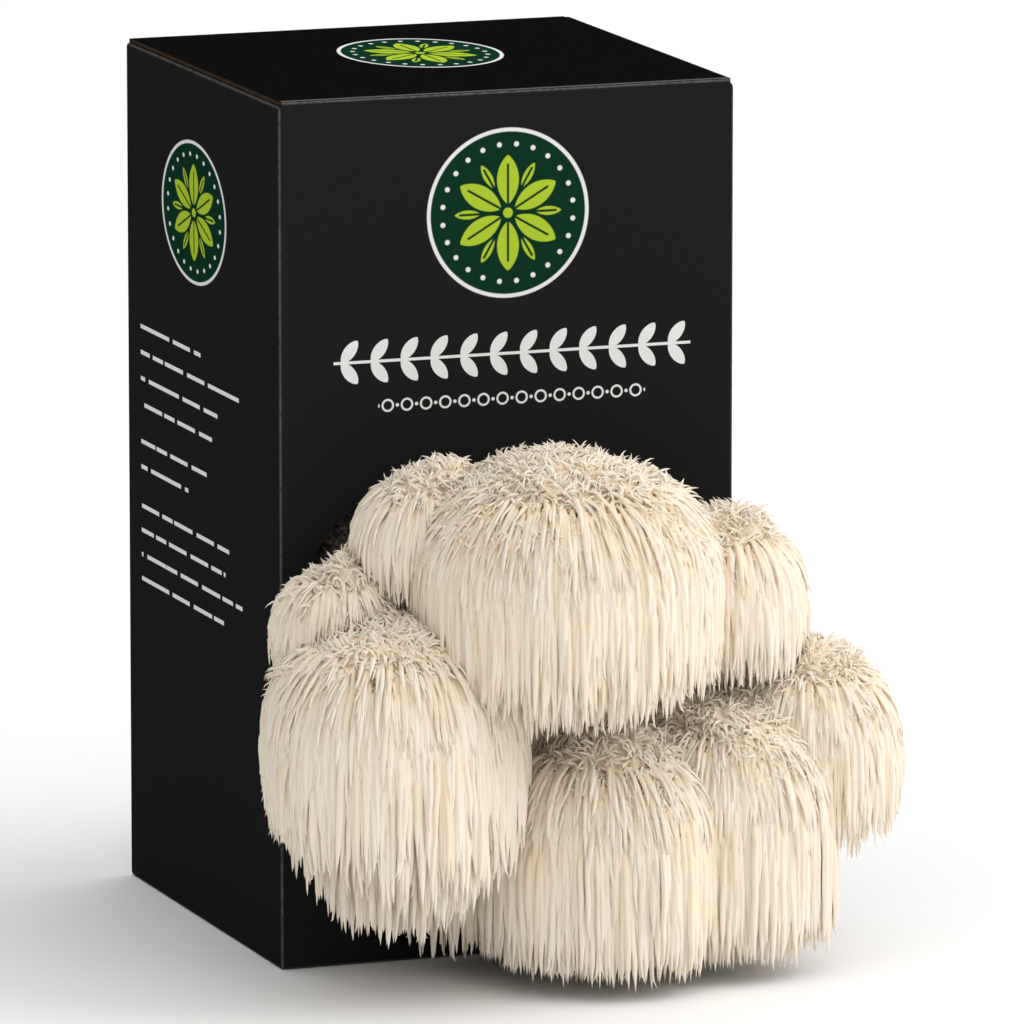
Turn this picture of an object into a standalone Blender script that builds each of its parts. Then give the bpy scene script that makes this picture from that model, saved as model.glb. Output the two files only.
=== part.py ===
"""A mushroom grow kit: a folded carton with a substrate block in its bag, and the shaggy white
mushroom that grew out through the window in the carton's front.

Metres, +Z up. The origin is the centre of the carton's base. The window looks along -Y.
"""

import math
import random
from typing import NamedTuple

import bmesh
import bpy
from mathutils import Vector

# Carton
WIDTH = 0.165
DEPTH = 0.165
HEIGHT = 0.300
BOARD = 0.0012
FOLD = 0.0014
GAP = 0.0003
FOLD_STEPS = 3
HALF_W = WIDTH / 2
HALF_D = DEPTH / 2
INNER_W = HALF_W - BOARD
INNER_D = HALF_D - BOARD
FLOOR_TOP = 2 * BOARD

# Window in the carton's front
WINDOW_HALF_W = 0.077
WINDOW_LOW = 0.0055
WINDOW_HIGH = 0.1685
WINDOW_CORNER = 0.050
WINDOW_STEPS = 10

# Lid, tuck tongue and dust flaps
LID_UNDER = HEIGHT - BOARD
SHOULDER = LID_UNDER - GAP
LID_HALF_W = HALF_W - 0.0009
TONGUE_LENGTH = 0.018
TONGUE_SLANT = math.radians(4)
TONGUE_HALF_W = INNER_W - 0.003
TONGUE_CORNER = 0.010
TONGUE_CLEAR = 0.0006
FLAP_REACH = 0.054
FLAP_FRONT = -INNER_D + 0.0020
FLAP_BACK = INNER_D - 0.0100
FLAP_CORNER = 0.012
HINGE = Vector((0.0, -INNER_D + GAP / 2, HEIGHT))

# Bottom seam, a shallow slit round three sides of the closing panel
SEAM_INSET = 0.0022
SEAM_WIDTH = 0.0005
SEAM_DEPTH = 0.0010

# Substrate block and the bag round it
FILM = 0.0006
FILM_FIT = 0.0008
BAG_CLEAR = 0.0030
BLOCK_HALF_W = 0.0740
BLOCK_FRONT = -INNER_D + BAG_CLEAR + FILM + FILM_FIT
BLOCK_BACK = 0.0720
BLOCK_LOW = FLOOR_TOP + GAP + FILM + FILM_FIT
BLOCK_HIGH = 0.2240
BLOCK_ROUND = 0.0140
BLOCK_CUTS = 7
BLOCK_DENT = 0.0012
TAIL_LOW = (-0.068, -0.030)
TAIL_HIGH = (0.068, 0.060)
TAIL_THICK = 0.0060
PATCH_SIZE = 0.050
PATCH_THICK = 0.0010

# Mushroom
FACE_CLEAR = 0.0013
BACK_SOFTNESS = 0.006
STEM_HALF_W = 0.036
STEM_HALF_H = 0.042
STEM_FLARE = 1.20
STEM_HEIGHT = 0.088
STEM_END = -0.104
SLIT_CLEAR = 0.0020
HEART_CENTRE = Vector((0.006, -0.103, 0.090))
HEART_RADII = Vector((0.066, 0.024, 0.066))
GROUND_CLEAR = 0.0012
KNOB = 0.018
RAGGED = 0.24

# Rows of the dome, in degrees from the pole
DOME_ROWS = (17, 34, 52, 71, 90)


class Lobe(NamedTuple):
    """One tooth-covered head: plan centre, four levels, two half widths and its lock count."""

    name: str
    x: float
    y: float
    top: float
    belly: float
    hem: float
    tip: float
    half_x: float
    half_y: float
    locks: int


LOBES = (
    Lobe("crown", -0.002, -0.140, 0.189, 0.142, 0.114, 0.088, 0.056, 0.044, 22),
    Lobe("upper_left", -0.039, -0.116, 0.184, 0.152, 0.138, 0.124, 0.029, 0.029, 14),
    Lobe("upper_right", 0.066, -0.118, 0.161, 0.130, 0.108, 0.093, 0.029, 0.031, 14),
    Lobe("side_left", -0.071, -0.112, 0.152, 0.124, 0.108, 0.096, 0.025, 0.026, 12),
    Lobe("big_left", -0.060, -0.132, 0.137, 0.092, 0.060, 0.018, 0.048, 0.044, 22),
    Lobe("front", 0.016, -0.131, 0.093, 0.054, 0.010, 0.0015, 0.044, 0.041, 20),
    Lobe("front_right", 0.061, -0.127, 0.101, 0.056, 0.013, 0.0015, 0.039, 0.039, 18),
    Lobe("far_right", 0.095, -0.121, 0.114, 0.076, 0.050, 0.032, 0.034, 0.033, 16),
    Lobe("low_back", -0.028, -0.106, 0.062, 0.036, 0.018, 0.005, 0.027, 0.020, 12),
)


class Row(NamedTuple):
    """One ring of a lobe below its belly: spread, heights of tips and valleys, ridge height."""

    spread: float
    tip_z: float
    valley_z: float
    ridge: float


def clear_scene():
    """Remove everything that the default scene holds."""
    for thing in list(bpy.data.objects):
        bpy.data.objects.remove(thing)


def new_collection(name):
    """Return a new collection linked to the scene."""
    made = bpy.data.collections.new(name)
    bpy.context.scene.collection.children.link(made)
    return made


def new_material(name, colour, roughness, transmission=0.0):
    """Return a Principled material."""
    made = bpy.data.materials.new(name)
    made.use_nodes = True
    shader = made.node_tree.nodes["Principled BSDF"]
    shader.inputs["Base Color"].default_value = (*colour, 1.0)
    shader.inputs["Roughness"].default_value = roughness
    shader.inputs["Metallic"].default_value = 0.0
    shader.inputs["Transmission Weight"].default_value = transmission
    return made


def new_object(name, bm, collection, material=None, flat=False):
    """Turn a bmesh into an object in a collection, split into flat triangles if asked."""
    bmesh.ops.recalc_face_normals(bm, faces=bm.faces)
    if flat:
        bmesh.ops.triangulate(bm, faces=bm.faces)
    mesh = bpy.data.meshes.new(name)
    bm.to_mesh(mesh)
    bm.free()
    made = bpy.data.objects.new(name, mesh)
    collection.objects.link(made)
    if material:
        mesh.materials.append(material)
    return made


def hide_cutter(cutter):
    """Mark an object as a tool that only shapes another one."""
    cutter.hide_render = True
    cutter.display_type = "WIRE"
    return cutter


def combine(target, tool, operation):
    """Add an exact Boolean of one object with another."""
    step = target.modifiers.new(tool.name, "BOOLEAN")
    step.operation = operation
    step.solver = "EXACT"
    step.object = hide_cutter(tool)


def block_mesh(low, high):
    """Return a bmesh box between two corners."""
    low, high = Vector(low), Vector(high)
    bm = bmesh.new()
    bmesh.ops.create_cube(bm, size=1.0)
    bmesh.ops.scale(bm, vec=high - low, verts=bm.verts)
    bmesh.ops.translate(bm, vec=(low + high) / 2, verts=bm.verts)
    return bm


def edges_along(bm, axis):
    """Return the edges that run along one axis of a box."""
    found = []
    for edge in bm.edges:
        run = edge.verts[1].co - edge.verts[0].co
        if abs(run[axis]) > 0.99 * run.length:
            found.append(edge)
    return found


def round_edges(bm, edges, radius, steps):
    """Round the given edges."""
    bmesh.ops.bevel(
        bm, geom=edges, offset=radius, segments=steps, affect="EDGES", profile=0.5, material=-1
    )


def soft_box_mesh(low, high, radius, cuts, dent=0.0, seed=0):
    """Return a box with well rounded edges, with small dents everywhere but in its front."""
    low, high = Vector(low), Vector(high)
    bm = block_mesh(low, high)
    bmesh.ops.subdivide_edges(bm, edges=bm.edges, cuts=cuts, use_grid_fill=True)
    chance = random.Random(seed)
    for vert in bm.verts:
        core = Vector(
            min(max(vert.co[i], low[i] + radius), high[i] - radius) for i in range(3)
        )
        out = vert.co - core
        on_front = vert.co.y < low.y + 1e-6
        if out.length > 0:
            vert.co = core + out.normalized() * radius
        if dent and not on_front:
            vert.co -= out.normalized() * chance.uniform(0.0, dent)
    return bm


def fold_strip(name, low, high, outer_edge_y, radius, tools):
    """Return a strip that carries a wall up to the lid, with its outer top edge rounded."""
    bm = block_mesh(low, high)
    crest = [
        edge
        for edge in edges_along(bm, 0)
        if all(
            abs(v.co.y - outer_edge_y) < 1e-6 and abs(v.co.z - high[2]) < 1e-6
            for v in edge.verts
        )
    ]
    round_edges(bm, crest, radius, FOLD_STEPS)
    return new_object(name, bm, tools)


def dust_flap(name, side, tools):
    """Return one dust flap, folded in from a side wall under the lid."""
    root = side * (HALF_W - BOARD / 2)
    free = side * (INNER_W - FLAP_REACH)
    top = SHOULDER - 0.00005
    low = (min(root, free), FLAP_FRONT, top - BOARD)
    high = (max(root, free), FLAP_BACK, top)
    bm = block_mesh(low, high)
    corners = [
        edge for edge in edges_along(bm, 2) if abs(edge.verts[0].co.x - free) < 1e-6
    ]
    round_edges(bm, corners, FLAP_CORNER, 4)
    return new_object(name, bm, tools)


def window_cutter(tools):
    """Return the rounded opening's cutter, through the front wall alone."""
    low = (-WINDOW_HALF_W, -HALF_D - 0.005, WINDOW_LOW)
    high = (WINDOW_HALF_W, -INNER_D + 0.001, WINDOW_HIGH)
    bm = block_mesh(low, high)
    round_edges(bm, edges_along(bm, 1), WINDOW_CORNER, WINDOW_STEPS)
    return new_object("window_cutter", bm, tools)


def seam_cutter(name, low, high, tools):
    """Return one run of the slit in the base."""
    return new_object(name, block_mesh((*low, -SEAM_DEPTH), (*high, SEAM_DEPTH)), tools)


def make_carton(parts, tools, material):
    """Make the carton: four walls, base, top folds, dust flaps and the window."""
    bm = block_mesh((-HALF_W, -HALF_D, 0.0), (HALF_W, HALF_D, SHOULDER))
    round_edges(bm, bm.edges[:], FOLD, FOLD_STEPS)
    carton = new_object("carton", bm, parts, material)

    inner = block_mesh((-INNER_W, -INNER_D, FLOOR_TOP), (INNER_W, INNER_D, HEIGHT + 0.01))
    combine(carton, new_object("cavity_cutter", inner, tools), "DIFFERENCE")

    skin = 0.00002
    crest_low = SHOULDER - 0.0040
    front = fold_strip(
        "front_fold",
        (-HALF_W + FOLD, -HALF_D + skin, crest_low),
        (HALF_W - FOLD, -INNER_D - skin, HEIGHT),
        -HALF_D + skin,
        BOARD * 0.9,
        tools,
    )
    combine(carton, front, "UNION")
    back = fold_strip(
        "back_edge",
        (-HALF_W + FOLD, INNER_D + skin, crest_low),
        (HALF_W - FOLD, HALF_D - skin, HEIGHT - GAP),
        HALF_D - skin,
        BOARD * 0.2,
        tools,
    )
    combine(carton, back, "UNION")
    for side, name in ((-1, "left_dust_flap"), (1, "right_dust_flap")):
        combine(carton, dust_flap(name, side, tools), "UNION")
    combine(carton, window_cutter(tools), "DIFFERENCE")

    run_x = HALF_W - SEAM_INSET
    run_y = HALF_D - SEAM_INSET
    for side, name in ((-1, "left_seam"), (1, "right_seam")):
        edge = side * run_x
        low = (edge - SEAM_WIDTH / 2, -run_y - SEAM_WIDTH / 2)
        high = (edge + SEAM_WIDTH / 2, run_y)
        combine(carton, seam_cutter(name, low, high, tools), "DIFFERENCE")
    low = (-run_x, -run_y - SEAM_WIDTH / 2)
    high = (run_x, -run_y + SEAM_WIDTH / 2)
    combine(carton, seam_cutter("front_seam", low, high, tools), "DIFFERENCE")
    return carton


def lid_rows():
    """Return the lid's outer line from the hinge to the tongue's end, as (y, z, half width)."""
    back = INNER_D - TONGUE_CLEAR
    rows = [(-INNER_D + GAP, HEIGHT, LID_HALF_W)]
    rows.append((back - 2 * FOLD, HEIGHT, LID_HALF_W))
    bend = math.pi / 2 + TONGUE_SLANT
    for i in range(FOLD_STEPS + 1):
        turn = bend * i / FOLD_STEPS
        y = back - FOLD + FOLD * math.sin(turn)
        z = HEIGHT - FOLD + FOLD * math.cos(turn)
        rows.append((y, z, TONGUE_HALF_W))
    y0, z0, _ = rows[-1]
    straight = TONGUE_LENGTH - TONGUE_CORNER
    steps = 4
    for i in range(steps + 1):
        turn = math.pi / 2 * i / steps
        down = straight + TONGUE_CORNER * math.sin(turn)
        half_w = TONGUE_HALF_W - TONGUE_CORNER * (1 - math.cos(turn))
        y = y0 - down * math.sin(TONGUE_SLANT)
        z = z0 - down * math.cos(TONGUE_SLANT)
        rows.append((y, z, half_w))
    return rows


def make_lid(parts, material):
    """Make the lid panel with its tuck tongue, a folded sheet given the board's thickness."""
    bm = bmesh.new()
    line = None
    for y, z, half_w in lid_rows():
        ends = [Vector((side * half_w, y, z)) - HINGE for side in (-1, 1)]
        if line is None:
            verts = [bm.verts.new(end) for end in ends]
            line = [bm.edges.new(verts)]
            continue
        grown = bmesh.ops.extrude_edge_only(bm, edges=line)["geom"]
        verts = sorted(
            (g for g in grown if isinstance(g, bmesh.types.BMVert)), key=lambda v: v.co.x
        )
        for vert, end in zip(verts, ends):
            vert.co = end
        line = [g for g in grown if isinstance(g, bmesh.types.BMEdge)]
    bmesh.ops.recalc_face_normals(bm, faces=bm.faces)
    if sum(face.normal.z for face in bm.faces) < 0:
        bmesh.ops.reverse_faces(bm, faces=bm.faces)
    mesh = bpy.data.meshes.new("carton_lid")
    bm.to_mesh(mesh)
    bm.free()
    mesh.materials.append(material)
    lid = bpy.data.objects.new("carton_lid", mesh)
    parts.objects.link(lid)
    lid.location = HINGE
    board = lid.modifiers.new("board", "SOLIDIFY")
    board.thickness = BOARD
    board.offset = -1.0
    board.use_even_offset = True
    return lid


def bag_box(grow, top_grow):
    """Return the block's corners, grown on every side."""
    low = (-BLOCK_HALF_W - grow, BLOCK_FRONT - grow, BLOCK_LOW - grow)
    high = (BLOCK_HALF_W + grow, BLOCK_BACK + grow, BLOCK_HIGH + top_grow)
    return low, high


def make_block(parts, material):
    """Make the pressed sawdust block that the mushroom feeds on."""
    low, high = bag_box(0.0, 0.0)
    bm = soft_box_mesh(low, high, BLOCK_ROUND, BLOCK_CUTS, BLOCK_DENT, seed=5)
    return new_object("substrate_block", bm, parts, material)


def make_bag(parts, tools, material):
    """Make the film bag: a thin shell, its folded tail on top, and the slit for the stem."""
    outer = FILM_FIT + FILM
    bm = soft_box_mesh(*bag_box(outer, outer), BLOCK_ROUND + outer, BLOCK_CUTS)
    bag = new_object("grow_bag", bm, parts, material)

    bag_top = BLOCK_HIGH + outer
    tail = block_mesh((*TAIL_LOW, bag_top - FILM / 2), (*TAIL_HIGH, bag_top + TAIL_THICK))
    round_edges(tail, edges_along(tail, 0), TAIL_THICK * 0.35, 2)
    combine(bag, new_object("folded_tail", tail, tools), "UNION")

    inner = soft_box_mesh(*bag_box(FILM_FIT, FILM_FIT), BLOCK_ROUND + FILM_FIT, BLOCK_CUTS)
    combine(bag, new_object("bag_cavity_cutter", inner, tools), "DIFFERENCE")

    slit = stem_mesh(BLOCK_FRONT - 0.010, BLOCK_FRONT + 0.0002, SLIT_CLEAR, 1.0)
    combine(bag, new_object("slit_cutter", slit, tools), "DIFFERENCE")
    return bag


def make_patch(parts, material):
    """Make the filter patch that lets the bag breathe, on the folded tail."""
    rest = BLOCK_HIGH + FILM_FIT + FILM + TAIL_THICK + GAP
    middle = (TAIL_LOW[1] + TAIL_HIGH[1]) / 2
    half = PATCH_SIZE / 2
    bm = block_mesh((-half, middle - half, rest), (half, middle + half, rest + PATCH_THICK))
    round_edges(bm, edges_along(bm, 2), 0.004, 3)
    return new_object("filter_patch", bm, parts, material)


def stem_mesh(y_start, y_end, grow, flare):
    """Return an oval stem along Y, from the block outwards when y_end is lower."""
    length = abs(y_end - y_start)
    bm = bmesh.new()
    bmesh.ops.create_cone(
        bm, cap_ends=True, segments=24, radius1=1.0, radius2=flare, depth=length
    )
    for vert in bm.verts:
        across, up, along = vert.co
        y = (y_start + y_end) / 2 - along
        vert.co = Vector(
            (across * (STEM_HALF_W + grow), y, STEM_HEIGHT + up * (STEM_HALF_H + grow))
        )
    return bm


def press_back(y, limit):
    """Return a depth squeezed softly in front of a limit, as flesh pressed on the carton."""
    knee = limit - BACK_SOFTNESS
    if y <= knee:
        return y
    return limit - BACK_SOFTNESS * math.exp(-(y - knee) / BACK_SOFTNESS)


def lobe_rows(lobe):
    """Return the rings of a lobe below its dome: three fringes, each over a ledge."""
    drop = lobe.belly - lobe.hem
    middle = lobe.tip + 0.45 * (lobe.hem - lobe.tip)
    lift = 0.30 * drop
    return (
        Row(1.00, lobe.belly - 0.50 * drop, lobe.belly - 0.45 * drop, 0.035),
        Row(0.96, lobe.hem, lobe.hem + lift, 0.050),
        Row(0.80, lobe.hem + lift, lobe.hem + lift, 0.000),
        Row(0.71, middle, middle + lift, 0.055),
        Row(0.50, middle + lift, middle + lift, 0.000),
        Row(0.40, lobe.tip, lobe.tip + lift, 0.080),
        Row(0.16, lobe.tip + lift, lobe.tip + lift, 0.000),
    )


def lobe_mesh(lobe, order):
    """Return one lobe: a globe whose rings become a knobbly dome and three hanging fringes."""
    chance = random.Random(101 + order)
    rows = lobe_rows(lobe)
    ring_count = len(DOME_ROWS) + len(rows)
    around = 2 * lobe.locks
    bm = bmesh.new()
    bmesh.ops.create_uvsphere(
        bm, u_segments=around, v_segments=ring_count + 1, radius=1.0
    )
    phase_2 = chance.uniform(0, math.tau)
    phase_3 = chance.uniform(0, math.tau)
    spare = [[chance.random() for _ in range(around)] for _ in range(ring_count)]
    back_limit = -HALF_D - FACE_CLEAR
    for vert in bm.verts:
        polar = math.acos(max(-1.0, min(1.0, vert.co.z)))
        ring = round(polar * (ring_count + 1) / math.pi) - 1
        if ring < 0:
            vert.co = Vector((lobe.x, lobe.y, lobe.top))
            continue
        if ring >= ring_count:
            vert.co = Vector((lobe.x, lobe.y, rows[-1].tip_z + 0.001))
            continue
        angle = math.atan2(vert.co.y, vert.co.x)
        step = round(angle * around / math.tau) % around
        luck = spare[ring][step]
        if ring < len(DOME_ROWS):
            down = math.radians(DOME_ROWS[ring])
            knob = KNOB if (ring + step) % 2 else -KNOB
            spread = math.sin(down) * (1 + knob)
            z = lobe.belly + (lobe.top - lobe.belly) * math.cos(down) * (1 + knob * luck)
        else:
            row = rows[ring - len(DOME_ROWS)]
            tier = (ring - len(DOME_ROWS)) // 2
            is_tip = (step + tier) % 2 == 0
            spread = row.spread * (1 + (row.ridge if is_tip else -row.ridge))
            ragged = RAGGED * (lobe.belly - lobe.hem) * luck if row.ridge else 0.0
            z = row.tip_z + ragged if is_tip else row.valley_z - 0.3 * ragged
        wobble = 1 + 0.04 * math.sin(2 * angle + phase_2) + 0.03 * math.sin(3 * angle + phase_3)
        x = lobe.x + lobe.half_x * spread * wobble * math.cos(angle)
        y = lobe.y + lobe.half_y * spread * wobble * math.sin(angle)
        vert.co = Vector((x, press_back(y, back_limit), max(z, GROUND_CLEAR)))
    return bm


def heart_mesh():
    """Return the flesh where the lobes meet, in front of the window."""
    bm = bmesh.new()
    bmesh.ops.create_uvsphere(bm, u_segments=24, v_segments=12, radius=1.0)
    bmesh.ops.scale(bm, vec=HEART_RADII, verts=bm.verts)
    bmesh.ops.translate(bm, vec=HEART_CENTRE, verts=bm.verts)
    for vert in bm.verts:
        vert.co.y = press_back(vert.co.y, -HALF_D - FACE_CLEAR)
    return bm


def keep_outer_skin(mesh):
    """Drop the closed pockets that lobes trap between them, which are solid flesh."""
    bm = bmesh.new()
    bm.from_mesh(mesh)
    bmesh.ops.triangulate(bm, faces=bm.faces)
    unseen = set(bm.faces)
    shells = []
    while unseen:
        front = [unseen.pop()]
        shell = set(front)
        while front:
            face = front.pop()
            for edge in face.edges:
                for other in edge.link_faces:
                    if other in unseen:
                        unseen.discard(other)
                        shell.add(other)
                        front.append(other)
        shells.append(shell)
    shells.sort(key=len)
    pockets = [face for shell in shells[:-1] for face in shell]
    bmesh.ops.delete(bm, geom=pockets, context="FACES")
    bm.to_mesh(mesh)
    bm.free()


def make_mushroom(parts, material):
    """Make the mushroom as one solid: heart, stem and lobes grown together."""
    body = new_object("lions_mane", heart_mesh(), parts, material, flat=True)
    growth = new_collection("growth")
    stem = stem_mesh(BLOCK_FRONT - GAP, STEM_END, 0.0, STEM_FLARE)
    pieces = [new_object("stem", stem, growth, flat=True)]
    for order, lobe in enumerate(LOBES):
        pieces.append(new_object(lobe.name, lobe_mesh(lobe, order), growth, flat=True))
    union = body.modifiers.new("grown_together", "BOOLEAN")
    union.operation = "UNION"
    union.solver = "EXACT"
    union.operand_type = "COLLECTION"
    union.collection = growth
    seen = body.evaluated_get(bpy.context.evaluated_depsgraph_get())
    grown = bpy.data.meshes.new_from_object(seen)
    keep_outer_skin(grown)
    grown.name = "lions_mane"
    body.modifiers.clear()
    body.data = grown
    for piece in pieces:
        bpy.data.objects.remove(piece)
    bpy.data.collections.remove(growth)
    return body


def shade(thing, angle):
    """Shade smooth with sharp edges past an angle."""
    thing.data.shade_smooth()
    thing.data.set_sharp_from_angle(angle=math.radians(angle))


def main():
    """Build the whole kit."""
    clear_scene()
    parts = new_collection("lions_mane_grow_kit")
    tools = new_collection("cutters")
    card = new_material("black_card", (0.012, 0.012, 0.012), 0.50)
    sawdust = new_material("sawdust_block", (0.115, 0.062, 0.030), 0.95)
    film = new_material("clear_film", (0.80, 0.80, 0.78), 0.18, transmission=0.8)
    paper = new_material("filter_paper", (0.82, 0.82, 0.80), 0.85)
    flesh = new_material("mushroom_flesh", (0.86, 0.78, 0.64), 0.60)

    make_carton(parts, tools, card)
    make_lid(parts, card)
    make_block(parts, sawdust)
    make_bag(parts, tools, film)
    make_patch(parts, paper)
    mushroom = make_mushroom(parts, flesh)
    shade(mushroom, 50)


main()
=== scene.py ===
"""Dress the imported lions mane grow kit: printed card, bagged sawdust and a shaggy mushroom.

Metres, +Z up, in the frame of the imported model. The carton's window looks along -Y.
"""

import enum
import functools
import logging
import math
import random
from dataclasses import dataclass, field
from typing import Iterable, Sequence

import bmesh
import bpy
import numpy as np
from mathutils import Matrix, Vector, noise


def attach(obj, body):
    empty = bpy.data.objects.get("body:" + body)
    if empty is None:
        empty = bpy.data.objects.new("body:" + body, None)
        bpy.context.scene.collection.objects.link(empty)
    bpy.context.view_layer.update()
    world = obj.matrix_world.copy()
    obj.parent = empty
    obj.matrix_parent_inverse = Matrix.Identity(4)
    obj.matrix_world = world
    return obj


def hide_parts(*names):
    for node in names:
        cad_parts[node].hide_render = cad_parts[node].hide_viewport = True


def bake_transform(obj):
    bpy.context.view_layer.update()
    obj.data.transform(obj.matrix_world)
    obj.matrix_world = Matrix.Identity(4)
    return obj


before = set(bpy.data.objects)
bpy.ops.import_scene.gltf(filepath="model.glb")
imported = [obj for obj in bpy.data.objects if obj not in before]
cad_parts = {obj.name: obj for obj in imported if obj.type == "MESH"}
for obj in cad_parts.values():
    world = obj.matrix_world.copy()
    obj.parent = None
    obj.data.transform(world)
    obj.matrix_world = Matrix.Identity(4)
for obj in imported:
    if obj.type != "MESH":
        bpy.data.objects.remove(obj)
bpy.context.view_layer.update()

log = logging.getLogger("grow_kit")

Socket = bpy.types.NodeSocket
Colour = tuple[float, float, float]
Place = tuple[float, float, float]
Constant = float | Sequence[float]

MM = 0.001

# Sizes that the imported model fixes
HALF_W = 82.5 * MM
HALF_D = 82.5 * MM
HEIGHT = 300 * MM
BOARD = 1.2 * MM
FACE_CLEAR = 1.3 * MM
BACK_SOFTNESS = 6 * MM
GROUND_CLEAR = 1.0 * MM
BLOCK_LOW = Vector((-74.0, -76.9, 4.1)) * MM
BLOCK_HIGH = Vector((74.0, 72.0, 224.0)) * MM
BLOCK_ROUND = 14 * MM
STEM_MIDDLE = Vector((0.0, 0.0, 88.0)) * MM


class Body(enum.Enum):
    """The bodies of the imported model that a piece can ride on."""

    KIT = "kit"
    LID = "lid"


class Slot(enum.Enum):
    """The record's material slots."""

    CARD = "black_card"
    SAWDUST = "sawdust_block"
    FILM = "clear_film"
    PAPER = "filter_paper"
    FLESH = "mushroom_flesh"


# Shader helpers


class Field:
    """A value that changes over a surface, with the arithmetic that makes others from it."""

    def __init__(self, graph: "Graph", socket: Socket) -> None:
        """Wrap an output socket.

        Args:
            graph: the node tree that the socket is in.
            socket: the output that gives the value.
        """
        self.graph = graph
        self.socket = socket

    def apply(self, operation: str, *others: "Field | float") -> "Field":
        """Return this value put through a Math node.

        Args:
            operation: the node's operation.
            others: its further values.

        Returns:
            The node's result.
        """
        return self.graph.maths(operation, self, *others)

    def __add__(self, other: "Field | float") -> "Field":
        """Return the sum."""
        return self.apply("ADD", other)

    def __sub__(self, other: "Field | float") -> "Field":
        """Return the difference."""
        return self.apply("SUBTRACT", other)

    def __mul__(self, other: "Field | float") -> "Field":
        """Return the product."""
        return self.apply("MULTIPLY", other)

    def __truediv__(self, other: "Field | float") -> "Field":
        """Return the quotient."""
        return self.apply("DIVIDE", other)

    def abs(self) -> "Field":
        """Return the size without its sign."""
        return self.apply("ABSOLUTE")

    def least(self, other: "Field | float") -> "Field":
        """Return the smaller of two values."""
        return self.apply("MINIMUM", other)

    def most(self, other: "Field | float") -> "Field":
        """Return the larger of two values."""
        return self.apply("MAXIMUM", other)

    def repeat(self, period: float) -> "Field":
        """Return the distance from the middle of the cell that the value lies in."""
        return (self / period).apply("FRACT") * period - period / 2

    def spread(self, low: float, high: float, to_low: float = 0.0, to_high: float = 1.0) -> "Field":
        """Return the value eased from one range to another, and held at its ends.

        Args:
            low: the value that gives to_low.
            high: the value that gives to_high.
            to_low: the result at low.
            to_high: the result at high.

        Returns:
            The eased value.
        """
        node = self.graph.add(
            "ShaderNodeMapRange", self, low, high, to_low, to_high, interpolation_type="SMOOTHSTEP"
        )
        return Field(self.graph, node.outputs[0])

    def below(self, limit: "Field | float", soft: float = 0.05 * MM) -> "Field":
        """Return 1 where the value is under a limit, with a soft edge."""
        return (self - limit).spread(soft, -soft)

    def above(self, limit: "Field | float", soft: float = 0.05 * MM) -> "Field":
        """Return 1 where the value is over a limit, with a soft edge."""
        return (self - limit).spread(-soft, soft)


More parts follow.
